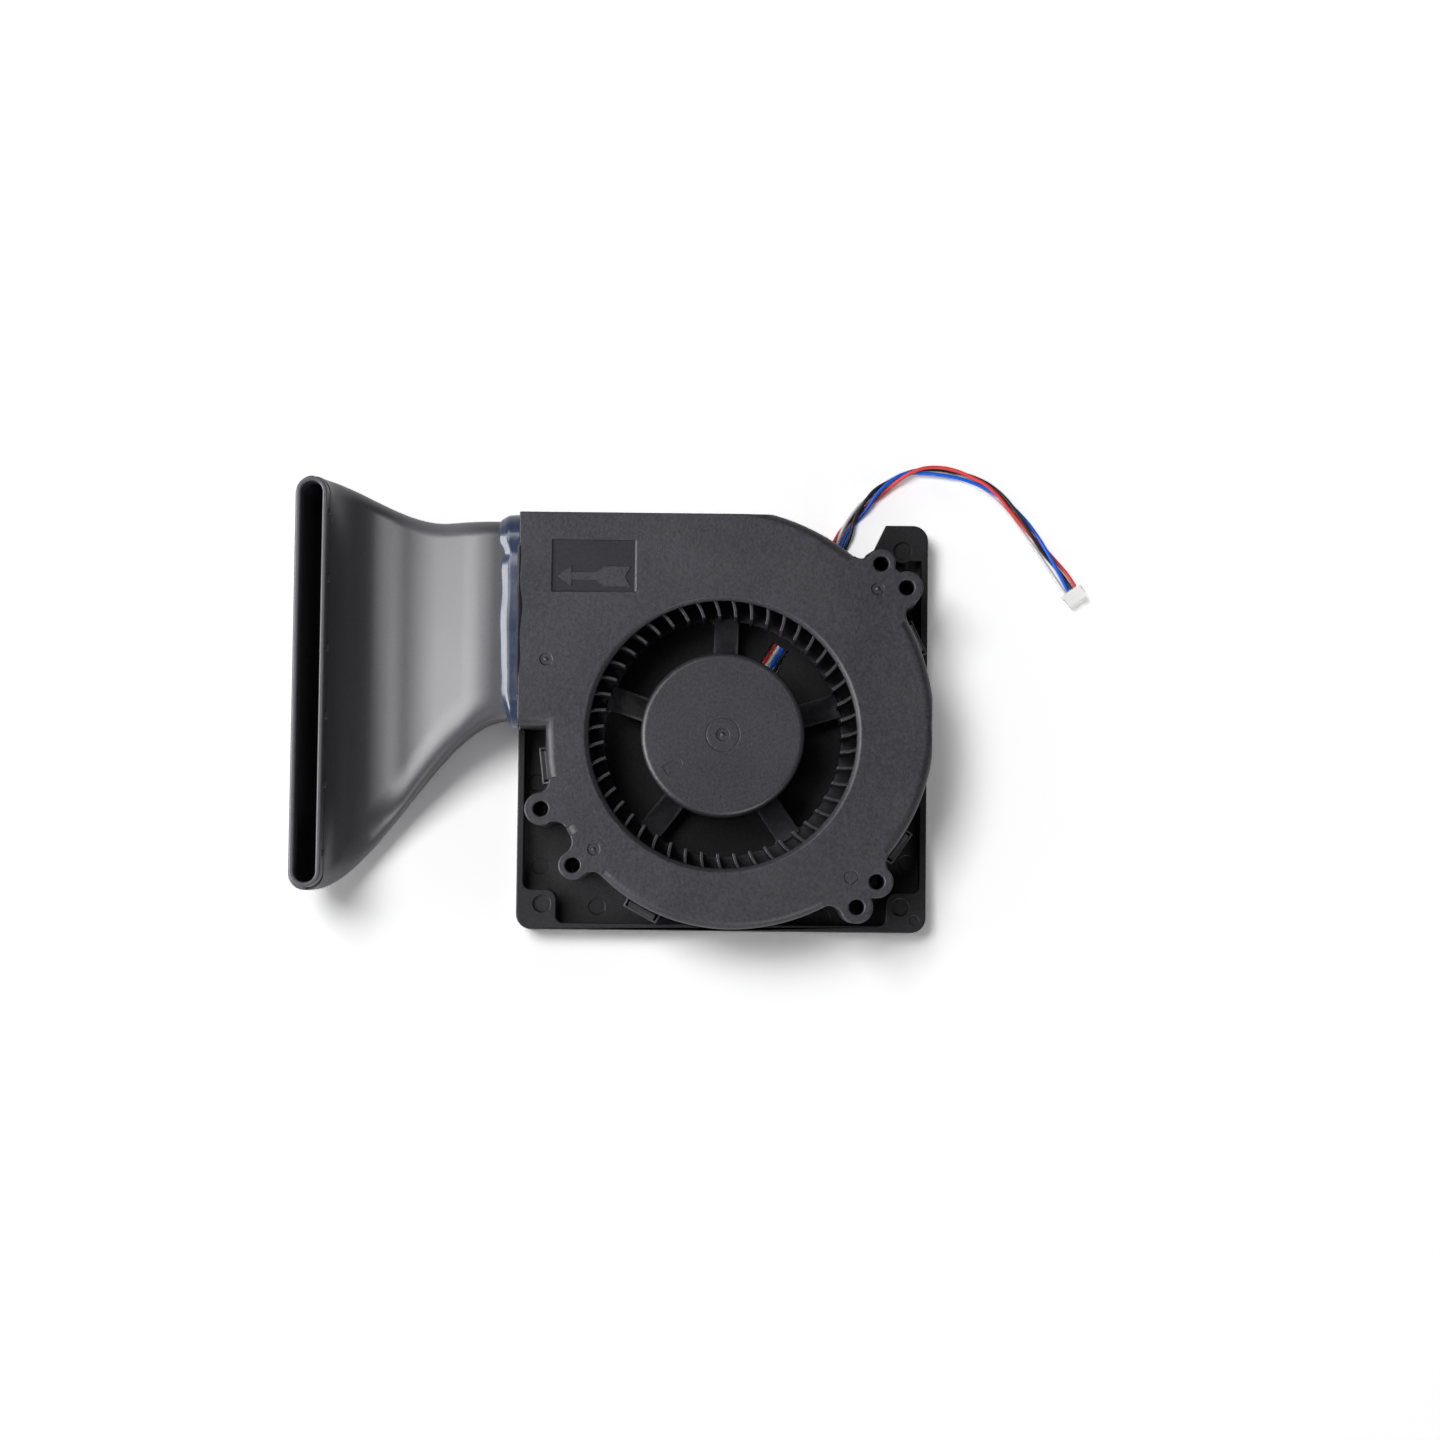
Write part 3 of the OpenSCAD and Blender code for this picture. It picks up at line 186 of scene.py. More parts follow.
def rounded_copy(node, name, body, width):
    """A merged copy of a solid with rounded edges, which stands for the solid."""
    mesh = frame["nodes"][node].data.copy()
    edit = bmesh.new()
    edit.from_mesh(mesh)
    bmesh.ops.remove_doubles(edit, verts=edit.verts, dist=MERGE_DISTANCE * MM)
    bmesh.ops.dissolve_limit(edit, angle_limit=FLAT_ENOUGH, verts=edit.verts, edges=edit.edges)
    edit.to_mesh(mesh)
    edit.free()
    mesh.polygons.foreach_set("use_smooth", np.ones(len(mesh.polygons), bool))
    mesh.set_sharp_from_angle(angle=SHARP_EDGE)
    piece = bpy.data.objects.new(name, mesh)
    bpy.context.scene.collection.objects.link(piece)
    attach(piece, body)
    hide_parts(node)
    round_edges(piece, width)


def swept_tube(path, radius, sides):
    """A circle carried along a path: path + radius (cos a side + sin a up), closed at both ends."""
    runs = np.gradient(path, axis=0)
    runs /= np.linalg.norm(runs, axis=1)[:, None]
    side = np.cross(runs, [0.0, 0.0, 1.0])
    side /= np.linalg.norm(side, axis=1)[:, None]
    up = np.cross(side, runs)
    angle = np.linspace(0.0, 2.0 * np.pi, sides, endpoint=False)
    ring = np.cos(angle)[None, :, None] * side[:, None] + np.sin(angle)[None, :, None] * up[:, None]
    points = path[:, None] + radius * ring
    return points.reshape(-1, 3), grid_faces(len(path), sides, True) + end_faces(len(path), sides)


# Materials

GRAIN_INPUTS = (("Colour", "NodeSocketColor"), ("Contrast", "NodeSocketFloat"),
                ("Roughness", "NodeSocketFloat"), ("Spread", "NodeSocketFloat"),
                ("Scale", "NodeSocketFloat"))
GRAIN_OUTPUTS = (("Colour", "NodeSocketColor"), ("Roughness", "NodeSocketFloat"),
                 ("Height", "NodeSocketFloat"))
FINE_DETAIL = 3.0
FINE_ROUGHNESS = 0.65
BROAD_DETAIL = 2.0
BROAD_SCALE = 0.03
BROAD_WEIGHT = 0.45
GRAIN_MIDDLE = 0.725


def make_grain_group():
    """Moulded grain: fine noise over broad mottling, for a varied colour and roughness, and a height."""
    group = bpy.data.node_groups.new("moulded_grain", "ShaderNodeTree")
    for name, kind in GRAIN_INPUTS:
        group.interface.new_socket(name=name, in_out="INPUT", socket_type=kind)
    for name, kind in GRAIN_OUTPUTS:
        group.interface.new_socket(name=name, in_out="OUTPUT", socket_type=kind)
    nodes, links = group.nodes, group.links
    given = nodes.new("NodeGroupInput")
    result = nodes.new("NodeGroupOutput")
    place = nodes.new("ShaderNodeTexCoord")
    fine = nodes.new("ShaderNodeTexNoise")
    fine.inputs["Detail"].default_value = FINE_DETAIL
    fine.inputs["Roughness"].default_value = FINE_ROUGHNESS
    broad = nodes.new("ShaderNodeTexNoise")
    broad.inputs["Detail"].default_value = BROAD_DETAIL
    broad_scale = nodes.new("ShaderNodeMath")
    broad_scale.operation = "MULTIPLY"
    broad_scale.inputs[1].default_value = BROAD_SCALE
    both = nodes.new("ShaderNodeMath")
    both.operation = "MULTIPLY_ADD"
    both.inputs[1].default_value = BROAD_WEIGHT
    centred = nodes.new("ShaderNodeMath")
    centred.operation = "SUBTRACT"
    centred.inputs[1].default_value = GRAIN_MIDDLE
    shade = nodes.new("ShaderNodeMath")
    shade.operation = "MULTIPLY_ADD"
    shade.inputs[2].default_value = 1.0
    tinted = nodes.new("ShaderNodeVectorMath")
    tinted.operation = "SCALE"
    rough = nodes.new("ShaderNodeMath")
    rough.operation = "MULTIPLY_ADD"
    links.new(place.outputs["Object"], fine.inputs["Vector"])
    links.new(place.outputs["Object"], broad.inputs["Vector"])
    links.new(given.outputs["Scale"], fine.inputs["Scale"])
    links.new(given.outputs["Scale"], broad_scale.inputs[0])
    links.new(broad_scale.outputs[0], broad.inputs["Scale"])
    links.new(broad.outputs["Fac"], both.inputs[0])
    links.new(fine.outputs["Fac"], both.inputs[2])
    links.new(both.outputs[0], centred.inputs[0])
    links.new(centred.outputs[0], shade.inputs[0])
    links.new(given.outputs["Contrast"], shade.inputs[1])
    links.new(given.outputs["Colour"], tinted.inputs[0])
    links.new(shade.outputs[0], tinted.inputs["Scale"])
    links.new(centred.outputs[0], rough.inputs[0])
    links.new(given.outputs["Spread"], rough.inputs[1])
    links.new(given.outputs["Roughness"], rough.inputs[2])
    links.new(tinted.outputs["Vector"], result.inputs["Colour"])
    links.new(rough.outputs[0], result.inputs["Roughness"])
    links.new(fine.outputs["Fac"], result.inputs["Height"])
    return group


grain_group = make_grain_group()


def grained(name, colour, roughness, grain, contrast, depth, spread=0.15, specular=0.5, metallic=0.0,
            coat=0.0, coat_roughness=0.03):
    """A finish with moulded, cast or drawn grain: grain is its size and depth its height, in millimetres."""
    material = bpy.data.materials.new(name)
    material.use_nodes = True
    nodes, links = material.node_tree.nodes, material.node_tree.links
    shader = nodes["Principled BSDF"]
    shader.inputs["Specular IOR Level"].default_value = specular
    shader.inputs["Metallic"].default_value = metallic
    shader.inputs["Coat Weight"].default_value = coat
    shader.inputs["Coat Roughness"].default_value = coat_roughness
    group = nodes.new("ShaderNodeGroup")
    group.node_tree = grain_group
    group.inputs["Colour"].default_value = (*colour, 1.0)
    group.inputs["Contrast"].default_value = contrast
    group.inputs["Roughness"].default_value = roughness
    group.inputs["Spread"].default_value = spread
    group.inputs["Scale"].default_value = 1.0 / (grain * MM)
    bump = nodes.new("ShaderNodeBump")
    bump.inputs["Strength"].default_value = 1.0
    bump.inputs["Distance"].default_value = depth * MM
    links.new(group.outputs["Colour"], shader.inputs["Base Color"])
    links.new(group.outputs["Roughness"], shader.inputs["Roughness"])
    links.new(group.outputs["Height"], bump.inputs["Height"])
    links.new(bump.outputs["Normal"], shader.inputs["Normal"])
    material.diffuse_color = (*colour, 1.0)
    return material


# Each finish by its name. Where the record has a slot of that name, the finish is for that slot.
FINISHES = {
    "cover_plastic": {"colour": (0.0235, 0.0224, 0.0297), "roughness": 0.47, "grain": 0.9, "contrast": 2.2,
                      "depth": 0.1, "specular": 0.6},
    "panel_plastic": {"colour": (0.02, 0.0195, 0.0255), "roughness": 0.33, "grain": 0.9, "contrast": 0.8,
                      "depth": 0.01, "specular": 0.45},
    "tray_plastic": {"colour": (0.0145, 0.014, 0.016), "roughness": 0.47, "grain": 0.9, "contrast": 1.6,
                     "depth": 0.06, "specular": 0.35},
    "impeller_plastic": {"colour": (0.0245, 0.0236, 0.03), "roughness": 0.42, "grain": 0.8, "contrast": 1.8,
                         "depth": 0.05, "specular": 0.65},
    "nozzle_plastic": {"colour": (0.056, 0.0545, 0.064), "roughness": 0.39, "grain": 0.8, "contrast": 0.5,
                       "depth": 0.014, "specular": 0.82},
    "glue": {"colour": (0.028, 0.04, 0.076), "roughness": 0.19, "grain": 3.0, "contrast": 0.9, "depth": 0.05,
             "spread": 0.1, "coat": 0.35, "coat_roughness": 0.13},
    "glue_film": {"colour": (0.011, 0.012, 0.017), "roughness": 0.2, "grain": 3.0, "contrast": 0.5,
                  "depth": 0.02, "specular": 0.4},
    "steel": {"colour": (0.5, 0.5, 0.52), "roughness": 0.3, "grain": 0.4, "contrast": 0.2, "depth": 0.004,
              "metallic": 1.0},
    "core_steel": {"colour": (0.3, 0.3, 0.32), "roughness": 0.45, "grain": 0.5, "contrast": 0.3,
                   "depth": 0.01, "metallic": 1.0},
    "magnet": {"colour": (0.045, 0.042, 0.042), "roughness": 0.7, "grain": 0.4, "contrast": 0.4,
               "depth": 0.02},
    "brass": {"colour": (0.6, 0.42, 0.17), "roughness": 0.3, "grain": 0.5, "contrast": 0.2, "depth": 0.005,
              "metallic": 1.0},
    "copper": {"colour": (0.5, 0.19, 0.07), "roughness": 0.35, "grain": 0.3, "contrast": 0.4, "depth": 0.03,
               "metallic": 1.0},
    "board": {"colour": (0.02, 0.12, 0.05), "roughness": 0.4, "grain": 1.5, "contrast": 0.3, "depth": 0.01},
    "chip": {"colour": (0.02, 0.02, 0.02), "roughness": 0.5, "grain": 0.3, "contrast": 0.4, "depth": 0.01},
    "capacitor": {"colour": (0.6, 0.6, 0.62), "roughness": 0.3, "grain": 0.5, "contrast": 0.15,
                  "depth": 0.004, "metallic": 1.0},
    "white_plastic": {"colour": (0.9, 0.9, 0.89), "roughness": 0.4, "grain": 0.6, "contrast": 0.06,
                      "depth": 0.006},
    "wire_red": {"colour": (0.75, 0.055, 0.05), "roughness": 0.38, "grain": 1.2, "contrast": 0.25,
                 "depth": 0.012},
    "wire_white": {"colour": (0.8, 0.8, 0.79), "roughness": 0.38, "grain": 1.2, "contrast": 0.1,
                   "depth": 0.012},
    "wire_blue": {"colour": (0.0, 0.11, 0.7), "roughness": 0.38, "grain": 1.2, "contrast": 0.25,
                  "depth": 0.012},
    "wire_black": {"colour": (0.014, 0.014, 0.014), "roughness": 0.4, "grain": 1.2, "contrast": 0.25,
                   "depth": 0.012},
}

finishes = {name: grained(name, **values) for name, values in FINISHES.items()}
slot_of = {part["node"]: part["material_slot"] for part in frame["record"]["subparts"]}


def dress_solids():
    """Gives each solid the finish of its slot in the record."""
    for node, slot in slot_of.items():
        mesh = frame["nodes"][node].data
        mesh.materials.clear()
        mesh.materials.append(finishes[slot])


dress_solids()


# Large mouldings, with rounded edges

COVER_EDGE = 0.4
TRAY_EDGE = 0.35
IMPELLER_EDGE = 0.15

rounded_copy("scroll_cover", "cover_moulding", HOUSING, COVER_EDGE)
rounded_copy("base_tray", "tray_moulding", HOUSING, TRAY_EDGE)
rounded_copy("impeller", "impeller_moulding", ROTOR, IMPELLER_EDGE)


# Wires, from the edge of the base to the connector

WIRE_D = 1.1
LEAD_PITCH = 1.3
LEAD_Z = 0.75
PIN_PITCH = 1.25
PIN_Z = 1.7
WIRE_ROUTE = np.array([
    [34, 58], [36, 62.2], [38.5, 66.4], [41.5, 70.4], [45, 74], [49, 77], [53.5, 79.6],
    [58.5, 81], [63.5, 81.1], [68.5, 80.2], [73, 78.6], [77.5, 76.4], [81.5, 73.4],
    [85, 69.8], [88.2, 65.8], [91.2, 61.8], [94.2, 57.8], [97.2, 53.6], [100.2, 49.4], [102.8, 45.6]])
CHANNEL_START = np.array([12.0, 19.0])
LEAD_ORDER = ("red", "white", "blue", "black")
PIN_ORDER = ("red", "black", "blue", "white")
ROW_MIDDLE = (len(LEAD_ORDER) - 1) / 2
# At each inner point of the route, the distance out and the height of the red, white, blue and black wire
WIRE_LAY = np.array([
    [[1.6, 0.6], [1.2, 1.9], [-0.4, 0.6], [-1.6, 1.7]],
    [[0.5, 0.6], [1.3, 1.6], [-0.9, 0.7], [-0.1, 1.85]],
    [[-0.6, 0.6], [1.2, 0.85], [-1.2, 1.65], [0.5, 2]],
    [[-1.2, 1.15], [0.3, 0.6], [-0.3, 2.3], [1.1, 1.7]],
    [[-0.85, 1.75], [-0.3, 0.6], [0.4, 2.1], [0.85, 0.7]],
    [[-0.35, 2.8], [-0.5, 0.6], [0.5, 1.75], [0.65, 0.6]],
    [[0.45, 2.8], [-0.6, 0.6], [-0.8, 1.75], [0.55, 0.6]],
    [[0.9, 1.95], [-0.7, 0.6], [-1.2, 1.7], [0.45, 0.6]],
    [[0.9, 1.8], [-0.7, 0.6], [-1.1, 1.7], [0.6, 0.6]],
    [[0.6, 1.95], [-0.95, 0.6], [-0.75, 1.75], [1.05, 0.8]],
    [[0.4, 2.2], [-1.3, 0.6], [-0.35, 1.3], [1.2, 1.05]],
    [[0, 1.95], [-1.3, 0.6], [0.25, 0.7], [1.1, 1.5]],
    [[-0.4, 1.5], [-1.3, 0.6], [1, 0.6], [0.8, 1.85]],
    [[-0.2, 0.9], [-1.35, 0.6], [1.5, 0.75], [0.45, 1.95]],
    [[0.2, 0.6], [-1.3, 0.6], [1.5, 1.1], [0.15, 1.8]],
    [[1, 0.6], [-1.35, 0.6], [1.05, 1.8], [-0.15, 1.35]],
    [[1.6, 0.85], [-1.5, 0.8], [0.5, 2.15], [0.35, 0.9]],
    [[2, 1.25], [-1.7, 1.2], [-0.1, 2.1], [0.65, 1.15]]])
ROUTE_STEPS = 14
WIRE_SIDES = 16


def smooth_curve(points, steps):
    """A smooth curve through the points (Catmull-Rom), with steps parts between one point and the next."""
    held = np.vstack([points[:1], points, points[-1:]])
    t = np.linspace(0.0, 1.0, steps, endpoint=False)[None, :, None]
    p0, p1, p2, p3 = (held[i:len(held) - 3 + i, None] for i in range(4))
    curve = p1 + t / 2 * (p2 - p0 + t * (2 * p0 - 5 * p1 + 4 * p2 - p3 + t * (3 * p1 - p0 - 3 * p2 + p3)))
    return np.vstack([curve.reshape(-1, points.shape[1]), points[-1:]])


def wire_path(name):
    """The route's points moved out and up to this wire's place: in rows at both ends, loose between them."""
    run = np.vstack([WIRE_ROUTE[:1] - CHANNEL_START, WIRE_ROUTE[2:] - WIRE_ROUTE[:-2],
                     WIRE_ROUTE[-1:] - WIRE_ROUTE[-2:-1]])
    run /= np.linalg.norm(run, axis=1)[:, None]
    lane = LEAD_ORDER.index(name)
    place = np.vstack([[[LEAD_PITCH * (ROW_MIDDLE - lane), LEAD_Z]], WIRE_LAY[:, lane],
                       [[PIN_PITCH * (ROW_MIDDLE - PIN_ORDER.index(name)), PIN_Z]]])
    left = np.stack([-run[:, 1], run[:, 0]], axis=1)
    return smooth_curve(np.column_stack([WIRE_ROUTE + place[:, :1] * left, place[:, 1]]), ROUTE_STEPS)


def make_wires():
    """Four wires of their real length, all ending in the connector."""
    for name in LEAD_ORDER:
        path = wire_path(name)
        slot = "wire_" + name
        tube = swept_tube(path, WIRE_D / 2, WIRE_SIDES)
        wire = mesh_piece(slot + "_sheath", [tube], finishes[slot], HOUSING)
        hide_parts(slot)


make_wires()


# Nozzle shells, close to the solids with more steps and a softer roof

SHELL_WALL = 1.5
SPIGOT_GAP = 0.4
SPIGOT_L = 5.0
COVER_WALL = 1.8
OUTLET_LOW = 2.1
FALL_START_L = 7.0
FALL_EASE = 0.27
VALLEY_L = 43.7
VALLEY_H = 10.0
BEND_R = 12.0
BEND_BULGE = 2.4
FLARE_HIGH_L = 21.0
FLARE_LOW_L = 4.0
FLARE_END_L = 62.0
FLARE_HIGH = 13.0
FLARE_LOW = 50.2
COLLAR_T = 9.1
COLLAR_WALL = 1.45
COLLAR_H = 5.0
COLLAR_SINK = 0.7
COLLAR_INSET = 0.9
COLLAR_LIP_R = 0.45
COLLAR_ROOM = 0.2
COLLAR_STEPS = 33
LIP_STEPS = 7
SHELL_EDGE_R = 5.0
EDGE_ROOM = 0.25
SEAM_GAP = 0.15
SOFT_EDGE = 9.0
SOFT_EDGE_L = 20.0
SOFT_EDGE_TURN = math.radians(80.0)
NUB_COUNT = 6
NUB_PITCH = 19.8
NUB_SIZE = np.array([1.3, 2.0, 2.2])
NUB_EDGE_R = 0.35
NUB_SINK = 0.5
BLOCK_STEPS = 4
UPPER_LAST_TURN = 84.0
LOWER_LAST_TURN = 90.0
STRAIGHT_STEPS = 56
BEND_STEPS = 44
ARC_STEPS = 14

mouth_x = cover_low[0]
nozzle_low = cover_low[2] + SPIGOT_GAP
nozzle_high = cover_high[2] - COVER_WALL - SPIGOT_GAP
bend_z = nozzle_low + VALLEY_H + BEND_R


def nozzle_edges(l):
    """Lower and upper edge of the nozzle from above at distance l from the mouth: two eased flares."""
    low = (OUTLET_LOW + COVER_WALL + SPIGOT_GAP
           - FLARE_LOW * smooth_step((l - FLARE_LOW_L) / (FLARE_END_L - FLARE_LOW_L)))
    high = (tray_high[1] - COVER_WALL - SPIGOT_GAP
            + FLARE_HIGH * smooth_step((l - FLARE_HIGH_L) / (FLARE_END_L - FLARE_HIGH_L)))
    return low, high


def nozzle_stations(last_turn):
    """Distance, height, turn and half thickness of each section: a run under an eased roof, then a bend."""
    l = np.concatenate([[-SPIGOT_L], np.linspace(0.0, VALLEY_L, STRAIGHT_STEPS, endpoint=False)])
    fall = soft_ramp((l - FALL_START_L) / (VALLEY_L - FALL_START_L), FALL_EASE)
    roof = mix(nozzle_high, nozzle_low + VALLEY_H, fall)
    turn = np.linspace(0.0, last_turn, BEND_STEPS + 1)
    share = turn / LOWER_LAST_TURN
    thick = mix(VALLEY_H, COLLAR_T + COLLAR_ROOM, share) + BEND_BULGE * np.sin(np.pi * share ** 2)
    middle = BEND_R + thick / 2
    angle = np.radians(turn)
    return (np.concatenate([l, VALLEY_L + middle * np.sin(angle)]),
            np.concatenate([(roof + nozzle_low) / 2, bend_z - middle * np.cos(angle)]),
            np.concatenate([np.zeros(len(l)), angle]),
            np.concatenate([(roof - nozzle_low) / 2, thick / 2]))


def half_section(low, high, half, inset, soft):
    """Half of a section: straight sides, round edges, of which soft widens the first, and a flat crown."""
    edge = np.minimum(SHELL_EDGE_R, half - SEAM_GAP - EDGE_ROOM)
    r = (edge - inset)[:, None]
    wide = r + soft[:, None]
    y0, y1, crown = (low + inset)[:, None], (high - inset)[:, None], (half - inset)[:, None]
    a = np.linspace(0.0, np.pi / 2, ARC_STEPS + 1)[None, :]
    seam = np.full_like(y0, SEAM_GAP / 2)
    y = np.hstack([y0, y0 + wide - wide * np.cos(a), y1 - r + r * np.sin(a), y1])
    v = np.hstack([seam, crown - r + r * np.sin(a), crown - r + r * np.cos(a), seam])
    return y, v


def nozzle_shell(side, last_turn):
    """One shell of the nozzle: outer and inner half sections joined into a ring, at each of the stations."""
    l, z, turn, half = nozzle_stations(last_turn)
    low, high = nozzle_edges(l)
    soft = (SOFT_EDGE * max(side, 0.0) * smooth_step(l / SOFT_EDGE_L)
            * (1.0 - smooth_step(turn / SOFT_EDGE_TURN)))
    y_out, v_out = half_section(low, high, half, 0.0, soft)
    y_in, v_in = half_section(low, high, half, SHELL_WALL, soft)
    y = np.hstack([y_out, y_in[:, ::-1]])
    v = side * np.hstack([v_out, v_in[:, ::-1]])
    x = mouth_x - l[:, None] + v * np.sin(turn)[:, None]
    points = np.stack([x, y, z[:, None] + v * np.cos(turn)[:, None]], axis=2)
    rows, columns = y.shape
    half_count = columns // 2
    last = (rows - 1) * columns
    caps = [[j, columns - 1 - j, columns - 2 - j, j + 1] for j in range(half_count - 1)]
    caps += [[last + j + 1, last + columns - 2 - j, last + columns - 1 - j, last + j]
             for j in range(half_count - 1)]
    return points.reshape(-1, 3), grid_faces(rows, columns, True) + caps


def collar_ends():
    """Left edge, lower end and upper end of the slot collar."""
    low, high = nozzle_edges(np.array([FLARE_END_L]))
    return mouth_x - VALLEY_L - BEND_R - COLLAR_T, low[0] + COLLAR_INSET, high[0] - COLLAR_INSET


def slot_collar():
    """The wall's section, with a round lip, carried round a long loop with half-round ends."""
    left, y0, y1 = collar_ends()
    radius = COLLAR_T / 2
    angle = np.linspace(0.0, np.pi, COLLAR_STEPS)
    around = np.concatenate([angle, angle + np.pi])
    centre_y = np.where(np.arange(len(around)) < len(angle), y1 - radius, y0 + radius)
    lip = np.linspace(0.0, np.pi / 2, LIP_STEPS)
    top, bottom = bend_z + COLLAR_H, bend_z - COLLAR_SINK
    inset = np.concatenate([[0.0], COLLAR_LIP_R * (1 - np.cos(lip)),
                            COLLAR_WALL - COLLAR_LIP_R * (1 - np.cos(lip[::-1])), [COLLAR_WALL]])
    height = np.concatenate([[bottom], top - COLLAR_LIP_R * (1 - np.sin(lip)),
                             top - COLLAR_LIP_R * (1 - np.sin(lip[::-1])), [bottom]])
    reach = radius - inset
    x = left + radius + np.cos(around)[:, None] * reach
    y = centre_y[:, None] + np.sin(around)[:, None] * reach
    points = np.stack([x, y, np.broadcast_to(height, x.shape)], axis=2)
    rows, columns = x.shape
    seam = [[(rows - 1) * columns + j, (rows - 1) * columns + (j + 1) % columns, (j + 1) % columns, j]
            for j in range(columns)]
    return points.reshape(-1, 3), grid_faces(rows, columns, True) + seam


def rounded_block(low, high, radius):
    """A ball's points pushed out to the eight corners of a block: corner centre + radius times direction."""
    u = (np.arange(4 * BLOCK_STEPS) + 0.5) / (4 * BLOCK_STEPS) * 2 * np.pi
    w = (np.arange(2 * BLOCK_STEPS) + 0.5) / (2 * BLOCK_STEPS) * np.pi - np.pi / 2
    turn, rise = np.meshgrid(u, w)
    direction = np.stack([np.cos(rise) * np.cos(turn), np.cos(rise) * np.sin(turn), np.sin(rise)], axis=2)
    centre = (np.asarray(low) + np.asarray(high)) / 2
    core = (np.asarray(high) - np.asarray(low)) / 2 - radius
    points = centre + np.sign(direction) * core + radius * direction
    rows, columns = turn.shape
    return points.reshape(-1, 3), grid_faces(rows, columns, True) + end_faces(rows, columns)


def slot_nubs():
    """The row of locating nubs on the collar's inner side."""
    left, y0, y1 = collar_ends()
    shells = []
    for i in range(NUB_COUNT):
        y = (y0 + y1) / 2 + NUB_PITCH * (i - (NUB_COUNT - 1) / 2)
        low = np.array([left + COLLAR_T - NUB_SINK, y - NUB_SIZE[1] / 2, bend_z])
        shells.append(rounded_block(low, low + NUB_SIZE, NUB_EDGE_R))
    return shells


def make_nozzle():
    """The two nozzle shells. The lower one carries the collar and the nubs."""
    upper = mesh_piece("nozzle_roof", [nozzle_shell(1.0, UPPER_LAST_TURN)], finishes["nozzle_plastic"],
                       HOUSING)
    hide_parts("nozzle_upper_shell")
    lower = mesh_piece("nozzle_trough", [nozzle_shell(-1.0, LOWER_LAST_TURN), slot_collar(), *slot_nubs()],
                       finishes["nozzle_plastic"], HOUSING)
    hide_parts("nozzle_lower_shell")


make_nozzle()


# Glue bead round the joint of the outlet and the nozzle

BEAD_W = 5.5
BEAD_H = 2.1
BEAD_FOOT_Z = 18.0
BEAD_SINK = 0.05
BEAD_ROWS = 420
BEAD_COLUMNS = 36
BEAD_CROWDING = 1.5
BEAD_SHARP = 75.0
# Slopes of the bead's section in degrees, and the shares of its width where the foot and the ramp end
FLAT_SLOPE = 3.0
RAMP_SLOPE = 27.0
FOOT_SLOPE = 38.0
FOOT_END = 0.1
RAMP_FADE_START = 0.24
RAMP_FADE_SPAN = 0.34
# Height, length and phase of each ripple in the bead's width and in its height
WIDTH_RIPPLES = ((0.34, 4.7, 0.4), (0.26, 8.3, 1.0), (0.08, 2.1, 2.0))
HEIGHT_RIPPLES = ((0.05, 5.3, 0.5), (0.03, 3.1, 1.2))
# Both ends thin out over END_L and the lower one is drawn in over DRAW_L, each down to its least share
END_L = 6.0
END_LEAST = 0.05
DRAW_L = 9.0
DRAW_LEAST = 0.55
# A lump at the lower end, a pinch near the upper end and a knot beyond the pinch
LUMP_L = 2.5
LUMP_H = 0.9
PINCH_Y = 51.6
PINCH_L = 2.3
PINCH_W = 1.1
PINCH_H = 0.25
KNOT_Y = 55.0
KNOT_L = 1.7
KNOT_W = 0.3
KNOT_H = 0.08
# Film on the cover's edge: its reach over the cover and back, its thickness, ends and waves
SMEAR_W = 0.9
SMEAR_BACK = 0.5
SMEAR_T = 0.05
SMEAR_ROWS = 160
SMEAR_FROM_LOW = 5.0
SMEAR_FROM_HIGH = 6.0
SMEAR_CLOSE = 0.06
SMEAR_MEAN = 0.75
SMEAR_RIPPLE = 0.7
SMEAR_WAVE_L = 3.4
SMEAR_WAVE_PHASE = 0.6
SMEAR_LONG_WAVE_L = 7.9
SMEAR_LEAST = 0.1
SMEAR_ACROSS = np.array([-1.0, 0.0, 0.5, 1.0])
SMEAR_LEVELS = np.array([-0.5, 0.7, 1.0, -0.3])


def bead_path(count):
    """Even points up one side of the nozzle, over its roof and down the other side, with outward normals."""
    low, high = nozzle_edges(np.zeros(1))
    r = SHELL_EDGE_R
    side, quarter, roof = nozzle_high - r - BEAD_FOOT_Z, r * np.pi / 2, high[0] - low[0] - 2 * r
    s = np.linspace(0.0, 2 * (side + quarter) + roof, count)
    first = np.clip((s - side) / quarter, 0.0, 1.0)
    second = np.clip((s - side - quarter - roof) / quarter, 0.0, 1.0)
    angle = np.pi - (first + second) * np.pi / 2
    normal = np.stack([np.cos(angle), np.sin(angle)], axis=1)
    up = np.minimum(s, side)
    along = np.clip(s - side - quarter, 0.0, roof)
    down = np.maximum(s - side - 2 * quarter - roof, 0.0)
    centre = np.stack([low[0] + r + along, BEAD_FOOT_Z + up - down], axis=1)
    return centre + r * normal, normal, s


def bead_section():
    """Height from the bead's edge to the wall: the running sum of tan(slope), steep, ramped, then flat."""
    t = np.linspace(0.0, 1.0, BEAD_COLUMNS) ** BEAD_CROWDING
    slope = np.radians(FLAT_SLOPE + RAMP_SLOPE * (1.0 - smooth_step((t - RAMP_FADE_START) / RAMP_FADE_SPAN))
                       + FOOT_SLOPE * (1.0 - smooth_step(t / FOOT_END)))
    rise = np.concatenate([[0.0], np.cumsum(np.tan((slope[1:] + slope[:-1]) / 2) * np.diff(t))])
    return t, rise / rise[-1]


def ripple(s, waves):
    """A sum of waves over the distance s: height sin(s / length + phase)."""
    return sum(height * np.sin(s / length + phase) for height, length, phase in waves)


def hump(distance, length):
    """A smooth hump of height 1: exp(-(distance / length)^2)."""
    return np.exp(-(distance / length) ** 2)


